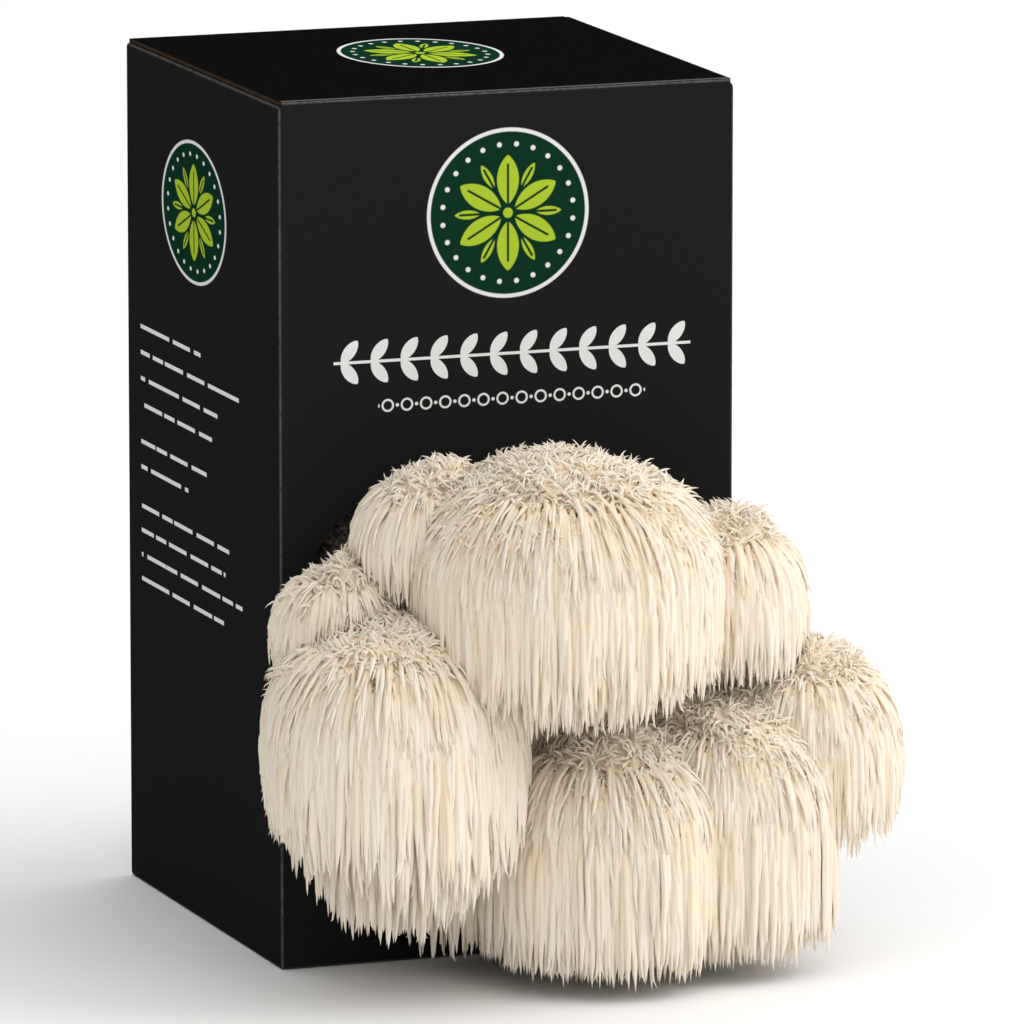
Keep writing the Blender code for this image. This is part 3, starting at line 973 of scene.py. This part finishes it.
def draw_together(lines: np.ndarray, pull: float, share: float, rng: np.random.Generator) -> np.ndarray:
    """Return lines whose far ends gather into locks.

    Args:
        lines: for each spine, its points.
        pull: how far the tips move to their lock's own line, from 0 to 1.
        share: how many of the spines lead a lock.
        rng: the source of chance.

    Returns:
        The gathered lines.
    """
    count = len(lines)
    leaders = rng.choice(count, max(1, int(count * share)), replace=False)
    middle = lines[:, lines.shape[1] // 2]
    gaps = np.linalg.norm(middle[:, None] - middle[leaders][None], axis=-1)
    nearest = gaps.argmin(1)
    lead = lines[leaders[nearest]]
    close = np.exp(-((gaps[np.arange(count), nearest] / (5 * MM)) ** 2))
    along = np.linspace(0.0, 1.0, lines.shape[1]) ** 1.6
    weight = pull * close[:, None] * along[None, :]
    moved = lines.copy()
    moved[..., :2] += weight[..., None] * (lead - lines)[..., :2]
    moved[..., 2] += 0.35 * weight * (lead - lines)[..., 2]
    return moved


def hook_tips(lines: np.ndarray, share: float, size: float, rng: np.random.Generator) -> np.ndarray:
    """Return lines, some of whose last points turn aside.

    Args:
        lines: for each spine, its points.
        share: how many of the spines end in a hook.
        size: how far a hook's point moves aside.
        rng: the source of chance.

    Returns:
        The lines with hooks.
    """
    count = len(lines)
    way = unit(rng.normal(size=(count, 3)) * [1.0, 1.0, 0.3])
    amount = (rng.random(count) < share) * rng.uniform(0.5, 1.0, count) * size
    moved = lines.copy()
    moved[:, -1] += amount[:, None] * (way + [0.0, 0.0, 0.5])
    moved[:, -2] += 0.30 * amount[:, None] * way
    return moved


@dataclass
class Lobe:
    """One spiny head of the mushroom: plan centre, four levels and two half widths.

    A bowl under 1 makes its underside flatter, and pallor is how white its spines are.
    """

    name: str
    x: float
    y: float
    top: float
    belly: float
    hem: float
    tip: float
    half_x: float
    half_y: float
    order: int = 0
    bowl: float = 1.0
    pallor: float = 0.5
    skin: float = 6.5 * MM
    cap: float = 5.4 * MM
    lump: float = 2.4 * MM
    phases: tuple[float, float] = field(init=False)

    def __post_init__(self) -> None:
        """Take the lobe's own waver from its number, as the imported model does."""
        chance = random.Random(101 + self.order)
        self.phases = (chance.uniform(0, math.tau), chance.uniform(0, math.tau))

    @property
    def middle(self) -> np.ndarray:
        """Return the middle of the flesh, at its widest level."""
        return np.array([self.x, self.y, self.belly])

    @property
    def radii(self) -> np.ndarray:
        """Return the flesh's half widths and its height over the widest level."""
        height = self.top - self.cap - self.belly
        return np.array([self.half_x - self.skin, self.half_y - self.skin, height])

    @property
    def depth(self) -> float:
        """Return how far the flesh reaches under its widest level."""
        return self.belly - (self.tip + 0.33 * (self.top - self.tip))

    def waver(self, angle: np.ndarray) -> np.ndarray:
        """Return how much wider the lobe is in each direction."""
        return 1 + 0.04 * np.sin(2 * angle + self.phases[0]) + 0.03 * np.sin(3 * angle + self.phases[1])

    def swell(self, points: np.ndarray, wave: float) -> np.ndarray:
        """Return a smooth random swelling from -1 to 1 at some points.

        Args:
            points: the points.
            wave: the length of its waves.

        Returns:
            The swelling.
        """
        rng = np.random.default_rng(300 + self.order)
        total = np.zeros(points.shape[:-1])
        for _ in range(7):
            way = unit(rng.normal(size=3)) * math.tau / wave * rng.uniform(0.7, 1.3)
            total += np.sin(points @ way + rng.uniform(0, math.tau))
        return np.tanh(total / 2.2)

    def shape(self, sphere: np.ndarray, layer: float = 0.0) -> np.ndarray:
        """Return points of the unit sphere moved onto the flesh.

        Args:
            sphere: points of the unit sphere.
            layer: how far outside the flesh they go.

        Returns:
            The moved points.
        """
        wide = self.waver(np.arctan2(sphere[:, 1], sphere[:, 0]))[:, None]
        radii = np.broadcast_to(self.radii + layer, sphere.shape).copy()
        radii[:, 2] = np.where(sphere[:, 2] < 0, self.depth + layer, radii[:, 2])
        radii[:, :2] *= wide
        lumps = self.swell(sphere * radii, 24 * MM)[:, None] * self.lump
        return self.middle + sphere * (radii + np.where(sphere[:, 2:3] > -0.2, lumps, 0.0))

    def normals(self, sphere: np.ndarray) -> np.ndarray:
        """Return the outward directions at points of the unit sphere moved onto the flesh."""
        radii = np.broadcast_to(self.radii, sphere.shape).copy()
        radii[:, 2] = np.where(sphere[:, 2] < 0, self.depth, radii[:, 2])
        return unit(sphere / radii)

    def inside(self, points: np.ndarray, share: float = 0.97) -> np.ndarray:
        """Return which points lie within the flesh."""
        off = points - self.middle
        high = np.where(off[..., 2] < 0, self.depth, self.radii[2])
        wide, deep = (np.full_like(high, radius) for radius in self.radii[:2])
        return np.linalg.norm(off / np.stack([wide, deep, high], -1), axis=-1) < share

    def push_out(self, points: np.ndarray, layer: np.ndarray) -> np.ndarray:
        """Return points moved out of the flesh and of a layer round it, over its widest level."""
        off = points - self.middle
        wide = self.waver(np.arctan2(off[:, 1], off[:, 0]))
        radii = self.radii[None, :] + layer[:, None]
        radii[:, :2] *= wide[:, None]
        size = np.linalg.norm(off / radii, axis=1)
        within = (size < 1) & (off[:, 2] > 0) & (size > 1e-6)
        off[within] /= size[within, None]
        return self.middle + off

    def hem_level(self, points: np.ndarray, luck: np.ndarray) -> np.ndarray:
        """Return how low the spines hang: a ragged bowl, deepest in the middle and in front.

        Args:
            points: places on the spines.
            luck: for each spine, from 0 to 1, how far it hangs past the bowl.

        Returns:
            The level of each spine's tip.
        """
        flat = (points[:, :2] - [self.x, self.y]) / [self.half_x, self.half_y]
        off = np.linalg.norm(flat, axis=1)
        front = np.clip(-flat[:, 1] / np.maximum(off, 0.01), 0, 1)
        off = off * self.bowl * (1 - (0.02 + 0.40 * front) * luck)
        rise = self.hem - self.tip
        levels = [self.tip + share * rise for share in (0.0, 0.10, 0.50, 0.78, 1.10)]
        levels.append(self.hem + 0.55 * (self.belly - self.hem))
        return np.interp(off, [0.0, 0.35, 0.60, 0.75, 0.88, 1.0], levels)

    def spiral(self, count: int, low: float, high: float, rng: np.random.Generator) -> np.ndarray:
        """Return evenly scattered points of the unit sphere between two heights.

        Args:
            count: how many points there are.
            low: the lowest height, from -1 to 1.
            high: the highest height.
            rng: the source of chance.

        Returns:
            The points.
        """
        step = (np.arange(count) + rng.uniform(0.1, 0.9, count)) / count
        z = high + (low - high) * step
        turn = np.arange(count) * math.pi * (3 - math.sqrt(5)) + rng.uniform(-0.25, 0.25, count)
        flat = np.sqrt(np.maximum(1 - z * z, 0))
        return np.stack([flat * np.cos(turn), flat * np.sin(turn), z], axis=1)

    def area(self) -> float:
        """Return about how large the upper half of the flesh is."""
        a, b, c = self.radii**1.6075
        return 2 * math.pi * ((a * b + a * c + b * c) / 3) ** (1 / 1.6075)

    def curls(self, rng: np.random.Generator, each: float) -> Tuft:
        """Return the short messy spines on top.

        Args:
            rng: the source of chance.
            each: the surface that one spine has.

        Returns:
            The tuft.
        """
        low = 0.28
        sphere = self.spiral(int(self.area() * (1 - low) / each), low, 1.0, rng)
        sphere = sphere[rng.random(len(sphere)) < ease(sphere[:, 2], low - 0.14, 0.66)]
        normal = self.normals(sphere)
        count = len(sphere)
        start = self.shape(sphere, -1.0 * MM)
        fall = np.array([0, 0, -1.0]) + normal * normal[:, 2:3]
        slope = np.clip(1 - normal[:, 2:3], 0, 1)
        drift = np.stack([self.swell(start + shift, 10 * MM) for shift in (0.0, 0.3, 0.7)], axis=1)
        stray = rng.normal(size=(count, 3)) * 0.60 + drift * (1.0 - 0.5 * slope)
        aside = unit(fall * (0.3 + 1.8 * slope) + stray - normal * (stray * normal).sum(1, keepdims=True))
        lean = unit(normal + 0.30 * rng.normal(size=(count, 3)))
        length = rng.uniform(5.0, 8.5, count) * MM * (1 + 0.5 * slope[:, 0])
        turn = rng.uniform(1.0, 3.4, count)
        twist = rng.uniform(-1.0, 1.0, (count, 1))
        over = np.cross(normal, aside)
        steps = 12
        spot, line = start, [start]
        for k in range(steps):
            angle = (turn * (k + 0.5) / steps)[:, None]
            way = np.cos(angle) * lean + np.sin(angle) * aside + np.sin(1.7 * angle) * twist * over * 0.6
            spot = spot + unit(way) * (length / steps)[:, None]
            line.append(spot)
        lines = cut_to_length(np.stack(line, axis=1), length, CURL.stations)
        lines = draw_together(lines, 0.35, 0.10, rng)
        return self.tuft(CURL, lines, normal, rng)

    def drape(
        self,
        form: SpineForm,
        each: float,
        band: tuple[float, float],
        reach: tuple[float, float],
        skew: float,
        pull: float,
        others: Sequence["Lobe"],
        rng: np.random.Generator,
    ) -> Tuft:
        """Return spines rooted in a band of the dome, which drape over it and hang down.

        Args:
            form: the spines' form.
            each: the surface that one spine has.
            band: the band's lowest and highest height on the unit sphere.
            reach: the shortest and longest that a spine may be, in millimetres.
            skew: over 1 for more short spines, under 1 for more long ones.
            pull: how far the tips gather into locks, from 0 to 1.
            others: the lobes that stop them.
            rng: the source of chance.

        Returns:
            The tuft.
        """
        low, high = band
        sphere = self.spiral(int(self.area() * (high - low) / each), low, high, rng)
        normal = self.normals(sphere)
        start = self.shape(sphere, -1.0 * MM)
        goal = (reach[0] + (reach[1] - reach[0]) * rng.random(len(sphere)) ** skew) * MM
        lines = self.hang(start, normal, goal, others, rng, 0.03)
        lines = draw_together(cut_to_length(*lines, form.stations), pull, 0.20, rng)
        return self.tuft(form, hook_tips(lines, 0.40, 2.0 * MM, rng), normal, rng)

    def fringe(self, each: float, others: Sequence["Lobe"], rng: np.random.Generator) -> Tuft:
        """Return the spines that hang from the underside.

        Args:
            each: the surface that one spine has.
            others: the lobes that stop them.
            rng: the source of chance.

        Returns:
            The tuft.
        """
        count = int(math.pi * self.radii[0] * self.radii[1] / each)
        step = (np.arange(count) + 0.5) / count
        turn = np.arange(count) * math.pi * (3 - math.sqrt(5))
        off = step**0.42 * 0.98
        flat = np.stack([off * np.cos(turn), off * np.sin(turn)], axis=1)
        flat += rng.normal(scale=0.02, size=flat.shape)
        off = np.minimum(np.linalg.norm(flat, axis=1), 0.98)
        sphere = unit(np.concatenate([flat, -np.sqrt(1 - off * off)[:, None]], axis=1))
        start = self.shape(sphere, -1.5 * MM)
        normal = self.normals(sphere)
        lines = self.hang(start, normal, np.full(count, 90 * MM), others, rng, 0.02)
        lines = draw_together(cut_to_length(*lines, STRAND.stations), 0.22, 0.20, rng)
        return self.tuft(STRAND, hook_tips(lines, 0.25, 2.2 * MM, rng), normal, rng)

    def hang(
        self,
        start: np.ndarray,
        normal: np.ndarray,
        reach: np.ndarray,
        others: Sequence["Lobe"],
        rng: np.random.Generator,
        stray: float,
    ) -> tuple[np.ndarray, np.ndarray]:
        """Let spines droop from the flesh and hang down.

        Args:
            start: where each is rooted.
            normal: the outward direction there.
            reach: how long each may be.
            others: the lobes whose flesh stops them.
            rng: the source of chance.
            stray: how much they lean apart.

        Returns:
            Each spine's line, and how much of it is kept.
        """
        count = len(start)
        lean = unit(normal + 0.16 * rng.normal(size=(count, 3)))
        fall = unit(np.array([0, 0, -1.0]) + stray * rng.normal(size=(count, 3)) * [1, 1, 0])
        droop = rng.uniform(2.5, 5.0, count) * MM
        loose = rng.uniform(-0.6, 0.8, count) * MM
        wave = rng.uniform(14.0, 26.0, count) * MM
        phase = rng.uniform(0, math.tau, (count, 2))
        rise = np.minimum(reach, np.maximum(start[:, 2] - self.hem, 14 * MM))
        spot, line = start, [start]
        for k in range(60):
            run = (k + 0.5) * STRIDE
            bent = (1 - np.exp(-run / droop))[:, None]
            sway = np.zeros((count, 3))
            sway[:, :2] = 0.06 * np.sin(phase + (math.tau * run / wave)[:, None])
            spot = spot + STRIDE * unit((1 - bent) * lean + bent * (fall + sway))
            layer = 0.4 * MM + (self.skin - 1.3 * MM) * np.clip(run / (0.8 * rise), 0, 1) ** 0.8
            spot = self.push_out(spot, layer + loose)
            line.append(spot)
        lines = np.stack(line, axis=1)
        steps = np.linalg.norm(np.diff(lines, axis=1), axis=-1)
        length = np.concatenate([np.zeros((count, 1)), np.cumsum(steps, axis=1)], axis=1)
        ragged = 2.4 * MM * self.swell(lines[:, -1] * [1, 1, 0], 9 * MM)
        luck = rng.random(count)
        short = (9.0 * rng.random(count) ** 2 - 1.0) * MM
        floor = self.hem_level(lines[:, -1], luck) + ragged + short
        floor = np.maximum(floor, GROUND_CLEAR)
        free = lines[..., 2] > floor[:, None]
        for other in others:
            free &= ~other.inside(lines)
        last = np.clip(free.cumprod(axis=1).sum(1) - 1, 0, lines.shape[1] - 1)
        return lines, np.minimum(length[np.arange(count), last], reach)

    def tuft(
        self, form: SpineForm, lines: np.ndarray, normal: np.ndarray, rng: np.random.Generator
    ) -> Tuft:
        """Return spines along given lines, pressed in front of the carton.

        Args:
            form: the spines' form.
            lines: for each spine, a point for each of the form's stations.
            normal: the flesh's outward directions at the roots.
            rng: the source of chance.

        Returns:
            The tuft.
        """
        lines = lines.copy()
        lines[..., 1] = press_back(lines[..., 1], -HALF_D - FACE_CLEAR - form.radius)
        lines[..., 2] = np.maximum(lines[..., 2], GROUND_CLEAR)
        sideways = np.cross(normal, [0, 0, 1.0]) + 0.02 * rng.normal(size=normal.shape)
        count = len(lines)
        thickness = form.radius * rng.uniform(0.74, 1.20, count)
        # Curls get paler spines: partly their colour, partly painted light that lifts the tops their own
        # tangle shades.
        pallor = 0.75 if form is CURL else self.pallor
        patches = 0.30 * self.swell(lines[:, 0], 9 * MM)
        tone = np.clip(pallor + patches + rng.uniform(-0.35, 0.35, count), 0, 1)
        off = lines - self.middle
        off[..., 2] = np.maximum(off[..., 2], 0.0)
        outward = unit(off / self.radii**2)
        return Tuft(form, lines, thickness, tone, unit(sideways), outward)

    def flesh(self, material: bpy.types.Material) -> bpy.types.Object:
        """Return the flesh under the spines, a lumpy globe."""
        bm = bmesh.new()
        bmesh.ops.create_icosphere(bm, subdivisions=5, radius=1.0)
        sphere = np.array([v.co for v in bm.verts])
        points = self.shape(sphere)
        points[:, 1] = press_back(points[:, 1], -HALF_D - FACE_CLEAR - 1 * MM)
        for vert, point in zip(bm.verts, points):
            lump = noise.noise(Vector(point) * 190.0) + 0.5 * noise.noise(Vector(point) * 420.0)
            vert.co = Vector(point) + vert.co * lump * 0.9 * MM
            vert.co.z = max(vert.co.z, GROUND_CLEAR)
        return as_piece(f"{self.name}_flesh", bm, material)


@dataclass
class Mushroom:
    """The lions mane: nine lobes grown together on a stem that comes out of the window."""

    lobes: tuple[Lobe, ...] = (
        Lobe("crown", -0.002, -0.140, 0.189, 0.142, 0.114, 0.088, 0.056, 0.044, 0, 0.87, 0.25),
        Lobe("upper_left", -0.039, -0.116, 0.184, 0.152, 0.138, 0.124, 0.029, 0.029, 1),
        Lobe("upper_right", 0.066, -0.118, 0.161, 0.130, 0.108, 0.093, 0.029, 0.031, 2),
        Lobe("side_left", -0.071, -0.112, 0.152, 0.124, 0.108, 0.096, 0.025, 0.026, 3),
        Lobe("big_left", -0.060, -0.132, 0.137, 0.092, 0.060, 0.018, 0.048, 0.044, 4),
        Lobe("front", 0.016, -0.131, 0.093, 0.054, 0.010, 0.0015, 0.044, 0.041, 5, 0.90),
        Lobe("front_right", 0.061, -0.127, 0.101, 0.056, 0.013, 0.0015, 0.039, 0.039, 6, 0.92),
        Lobe("far_right", 0.095, -0.121, 0.114, 0.076, 0.050, 0.032, 0.034, 0.033, 7),
        Lobe("low_back", -0.028, -0.106, 0.062, 0.036, 0.018, 0.005, 0.027, 0.020, 8),
    )
    curl_area: float = 1.75e-6
    lock_area: float = 4.2e-6
    strand_area: float = 5.8e-6
    fringe_area: float = 9.5e-6

    def heart(self, material: bpy.types.Material) -> bpy.types.Object:
        """Return the stem and the flesh where the lobes meet, turned from one outline.

        Args:
            material: the flesh's finish.

        Returns:
            The piece.
        """
        outline = (
            (0.0, -77.2), (34.0, -77.2), (36.0, -78.0), (36.5, -82.0), (39.0, -84.6), (50.0, -86.5),
            (60.0, -91.0), (65.0, -98.0), (65.0, -106.0), (58.0, -115.0), (42.0, -122.5),
            (22.0, -126.5), (0.0, -128.0),
        )
        bm = bmesh.new()
        verts = [bm.verts.new((r * MM, y * MM, 0.0)) for r, y in outline]
        edges = [bm.edges.new(pair) for pair in zip(verts, verts[1:])]
        bmesh.ops.spin(
            bm, geom=verts + edges, cent=(0, 0, 0), axis=(0, 1, 0), angle=math.tau, steps=48,
            use_merge=True,
        )
        bmesh.ops.remove_doubles(bm, verts=bm.verts, dist=0.01 * MM)
        bmesh.ops.subdivide_edges(bm, edges=bm.edges, cuts=1, use_grid_fill=True, smooth=0.0)
        bmesh.ops.recalc_face_normals(bm, faces=bm.faces)
        for vert in bm.verts:
            vert.co.z *= 1.06
            lump = noise.noise(vert.co * 160.0) * 0.8 * MM
            if vert.co.y < -0.086:
                vert.co += vert.normal * lump
        bmesh.ops.translate(bm, vec=STEM_MIDDLE, verts=bm.verts)
        return as_piece("stem_and_heart", bm, material)

    def build(self) -> None:
        """Make the stem, and each lobe's flesh and spines."""
        bare = MushroomFlesh(name="mushroom_flesh_bare", has_spines=False).build()
        spined = MushroomFlesh(name="mushroom_flesh_spines").build()
        enlist(self.heart(bare), Body.KIT, ("lions_mane",))
        for lobe in self.lobes:
            enlist(lobe.flesh(bare), Body.KIT, ("lions_mane",))
            rng = np.random.default_rng(7000 + lobe.order)
            others = [other for other in self.lobes if other is not lobe]
            curls = lobe.curls(rng, self.curl_area)
            locks = lobe.drape(LOCK, self.lock_area, (0.10, 0.76), (8, 42), 1.6, 0.24, others, rng)
            strands = lobe.drape(STRAND, self.strand_area, (-0.22, 0.70), (34, 110), 0.65, 0.08, others, rng)
            fringe = lobe.fringe(self.fringe_area, others, rng)
            for part, tufts in (("curls", (curls, locks)), ("strands", (strands, fringe))):
                kept = [self.clear_of_others(others, tuft) for tuft in tufts]
                name = f"{lobe.name}_{part}"
                mesh = spines_mesh(name, kept)
                mesh.materials.append(spined)
                enlist(link(name, mesh), Body.KIT, ("lions_mane",))

    @staticmethod
    def clear_of_others(others: Sequence[Lobe], tuft: Tuft) -> Tuft:
        """Return a tuft without its stubs and the spines rooted in another lobe's flesh.

        Args:
            others: the other lobes.
            tuft: the tuft.

        Returns:
            What is kept of it.
        """
        keep = np.linalg.norm(tuft.lines[:, -1] - tuft.lines[:, 0], axis=1) > 4 * MM
        for other in others:
            keep &= ~other.inside(tuft.lines[:, 1])
        parts = (tuft.lines, tuft.thickness, tuft.tone, tuft.sideways, tuft.outward)
        return Tuft(tuft.form, *(part[keep] for part in parts))


# The block and its bag


@dataclass
class GrowBag:
    """The sawdust block in its crinkled film bag, with a folded tail and a filter patch."""

    cuts: int = 34
    crinkle: float = 1.1 * MM
    tail_width: float = 136 * MM
    tail_back: float = 60 * MM
    tail_front: float = -30 * MM
    layer_gap: float = 1.3 * MM
    layers: int = 4

    def soft_box(self, grow: float, cuts: int) -> bmesh.types.BMesh:
        """Return the block's rounded box, grown on every side.

        Args:
            grow: how far its faces move out.
            cuts: how often each edge is cut.

        Returns:
            The box.
        """
        low = BLOCK_LOW - Vector((grow, grow, grow))
        high = BLOCK_HIGH + Vector((grow, grow, grow))
        radius = BLOCK_ROUND + grow
        bm = bmesh.new()
        bmesh.ops.create_cube(bm, size=1.0)
        bmesh.ops.scale(bm, vec=high - low, verts=bm.verts)
        bmesh.ops.translate(bm, vec=(low + high) / 2, verts=bm.verts)
        bmesh.ops.subdivide_edges(bm, edges=bm.edges, cuts=cuts, use_grid_fill=True)
        for vert in bm.verts:
            core = Vector(min(max(vert.co[i], low[i] + radius), high[i] - radius) for i in range(3))
            out = vert.co - core
            if out.length > 0:
                vert.co = core + out.normalized() * radius
        bm.normal_update()
        return bm

    def block(self, material: bpy.types.Material) -> bpy.types.Object:
        """Return the crumbly block."""
        bm = self.soft_box(-0.6 * MM, self.cuts)
        for vert in bm.verts:
            crumb = noise.noise(vert.co * 260.0) * 0.7 + noise.noise(vert.co * 60.0) * 0.8
            vert.co += vert.normal * (crumb - 0.6) * 0.5 * MM
        return as_piece("sawdust", bm, material)

    def film(self, material: bpy.types.Material) -> bpy.types.Object:
        """Return the bag's film, creased where it was drawn tight."""
        bm = self.soft_box(0.9 * MM, self.cuts)
        for vert in bm.verts:
            fold = 1 - 2 * abs(noise.noise(Vector((vert.co.x * 24, vert.co.y * 24, vert.co.z * 11))))
            fine = 1 - 2 * abs(noise.noise(vert.co * 75.0))
            vert.co += vert.normal * self.crinkle * max(0.0, 0.7 * fold + 0.3 * fine)
        return as_piece("bag_film", bm, material)

    def tail(self, material: bpy.types.Material) -> bpy.types.Object:
        """Return the bag's tail, folded to and fro on top of it."""
        bm = bmesh.new()
        rest = BLOCK_HIGH.z + 2.6 * MM
        points = []
        for layer in range(self.layers):
            z = rest + layer * self.layer_gap
            span = np.linspace(0.0, 1.0, 15)
            if layer % 2:
                span = span[::-1]
            for share in span:
                y = self.tail_front + (self.tail_back - self.tail_front) * share
                points.append((y, z + 0.25 * MM * math.sin(9 * share + layer)))
            if layer + 1 < self.layers:
                end = self.tail_back if layer % 2 == 0 else self.tail_front
                out = 1 if layer % 2 == 0 else -1
                points.append((end + out * 0.5 * MM, z + self.layer_gap / 2))
        columns = 28
        line = [
            bm.verts.new((self.tail_width * (i / columns - 0.5), points[0][0], points[0][1]))
            for i in range(columns + 1)
        ]
        rim = [bm.edges.new(pair) for pair in zip(line, line[1:])]
        for last, point in zip(points, points[1:]):
            _, rim = extend(bm, rim, (0, point[0] - last[0], point[1] - last[1]))
        for vert in bm.verts:
            vert.co.z += 0.35 * MM * noise.noise(Vector((vert.co.x * 55, vert.co.y * 22, 3.0)))
        bmesh.ops.recalc_face_normals(bm, faces=bm.faces)
        bmesh.ops.solidify(bm, geom=bm.faces, thickness=0.12 * MM)
        return as_piece("bag_tail", bm, material)

    def build(self) -> None:
        """Make the block, the film and the tail, and dress the filter patch."""
        film = ClearFilm().build()
        enlist(self.block(Sawdust().build()), Body.KIT, ("substrate_block",))
        enlist(self.film(film), Body.KIT, ("grow_bag",))
        enlist(self.tail(film), Body.KIT, ("grow_bag",))
        dress_node("filter_patch", FilterPaper().build())


# The carton


@dataclass
class Carton:
    """The printed carton, its lid and the crease between them."""

    crease_half: float = 81.0 * MM
    crease_front: float = -HALF_D + 0.5 * MM
    crease_back: float = -79.6 * MM
    steps: int = 12

    def crease(self, material: bpy.types.Material) -> bpy.types.Object:
        """Return the strip of board skin that bridges the lid's fold."""
        bm = bmesh.new()
        level = HEIGHT + 0.02 * MM
        line = [bm.verts.new((s * self.crease_half, self.crease_front, level)) for s in (-1, 1)]
        rim = [bm.edges.new(line)]
        step = (self.crease_back - self.crease_front) / self.steps
        for _ in range(self.steps):
            _, rim = extend(bm, rim, (0, step, 0))
        bmesh.ops.recalc_face_normals(bm, faces=bm.faces)
        if sum(face.normal.z for face in bm.faces) < 0:
            bmesh.ops.reverse_faces(bm, faces=bm.faces)
        bmesh.ops.solidify(bm, geom=bm.faces, thickness=-0.10 * MM)
        return as_piece("lid_crease", bm, material, smooth=False)

    def build(self) -> None:
        """Dress the carton and the lid, whose darker black is painted shade, and bridge the fold between
        them with a light grey strip that is a painted highlight, partly worn board.
        """
        dress_node("carton", BlackCard().build())
        # The lid's board is a darker black than the walls': painted shade, as the top gets less light.
        lid_card_painted_shade = BlackCard("black_card_lid", is_lid=True, black=(0.0050, 0.0050, 0.0052))
        dress_node("carton_lid", lid_card_painted_shade.build())
        # The crease strip is light grey: a painted highlight along the fold, partly worn board.
        fold_card_painted_highlight = BlackCard("black_card_fold", is_lid=True, black=(0.110, 0.108, 0.105))
        strip = self.crease(fold_card_painted_highlight.build())
        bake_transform(strip)


# The studio


@dataclass
class Studio:
    """A pale floor, a soft lamp, a bright sky and the camera at the photograph's angle."""

    camera_place: Place = (-1.34537757, -3.76965544, 0.88127832)
    camera_goal: Place = (0.02787412, -0.01018179, 0.13999972)
    lens: float = 410.177
    key_place: Place = (3.1, -1.4, 2.6)
    key_goal: Place = (0.0, -0.05, 0.13)
    key_size: float = 2.6
    key_power: float = 46.0
    key_colour: Colour = (1.0, 0.985, 0.96)
    right: Place = (0.940, -0.340, 0.0)
    sky_left: float = 0.0
    sky_right: float = 0.72
    sky_above: float = 0.86

    def floor(self) -> None:
        """Lay the floor."""
        bm = bmesh.new()
        bmesh.ops.create_grid(bm, x_segments=1, y_segments=1, size=9.0)
        material = bpy.data.materials.new("studio_floor")
        material.use_nodes = True
        shader = material.node_tree.nodes["Principled BSDF"]
        shader.inputs["Base Color"].default_value = (0.97, 0.97, 0.97, 1.0)
        shader.inputs["Roughness"].default_value = 0.9
        shader.inputs["Specular IOR Level"].default_value = 0.1
        as_piece("studio_floor", bm, material)

    def key(self) -> None:
        data = bpy.data.lights.new("key", "AREA")
        data.shape = "SQUARE"
        data.size = self.key_size
        data.energy = self.key_power
        data.color = self.key_colour
        aim(link("key", data), self.key_place, self.key_goal)

    def sky(self) -> None:
        """Light the sky softly, brighter above and dimmer on the camera's left."""
        world = bpy.data.worlds.new("studio")
        bpy.context.scene.world = world
        world.use_nodes = True
        graph = Graph(world.node_tree)
        x, y, z = graph.split(graph.add("ShaderNodeTexCoord").outputs["Generated"])
        across = x * self.right[0] + y * self.right[1]
        background = world.node_tree.nodes["Background"]
        background.inputs["Color"].default_value = (1.0, 1.0, 1.0, 1.0)
        strength = across.spread(-0.95, 0.75, self.sky_left, self.sky_right)
        graph.feed(background.inputs["Strength"], strength + z.most(0.0) * self.sky_above)

    def camera(self) -> None:
        """Set the camera where the photograph was taken from."""
        data = bpy.data.cameras.new("camera")
        data.lens = self.lens
        data.sensor_width = 36.0
        camera = link("camera", data)
        aim(camera, self.camera_place, self.camera_goal)
        bpy.context.scene.camera = camera

    def build(self) -> None:
        """Set up the floor, the lamp, the sky and the camera."""
        bpy.context.scene.view_settings.view_transform = "Standard"
        self.floor()
        self.key()
        self.sky()
        self.camera()


def main() -> None:
    logging.basicConfig(level=logging.INFO, format="%(name)s %(message)s")
    Studio().build()
    Carton().build()
    GrowBag().build()
    Mushroom().build()


if __name__ == "__main__":
    main()
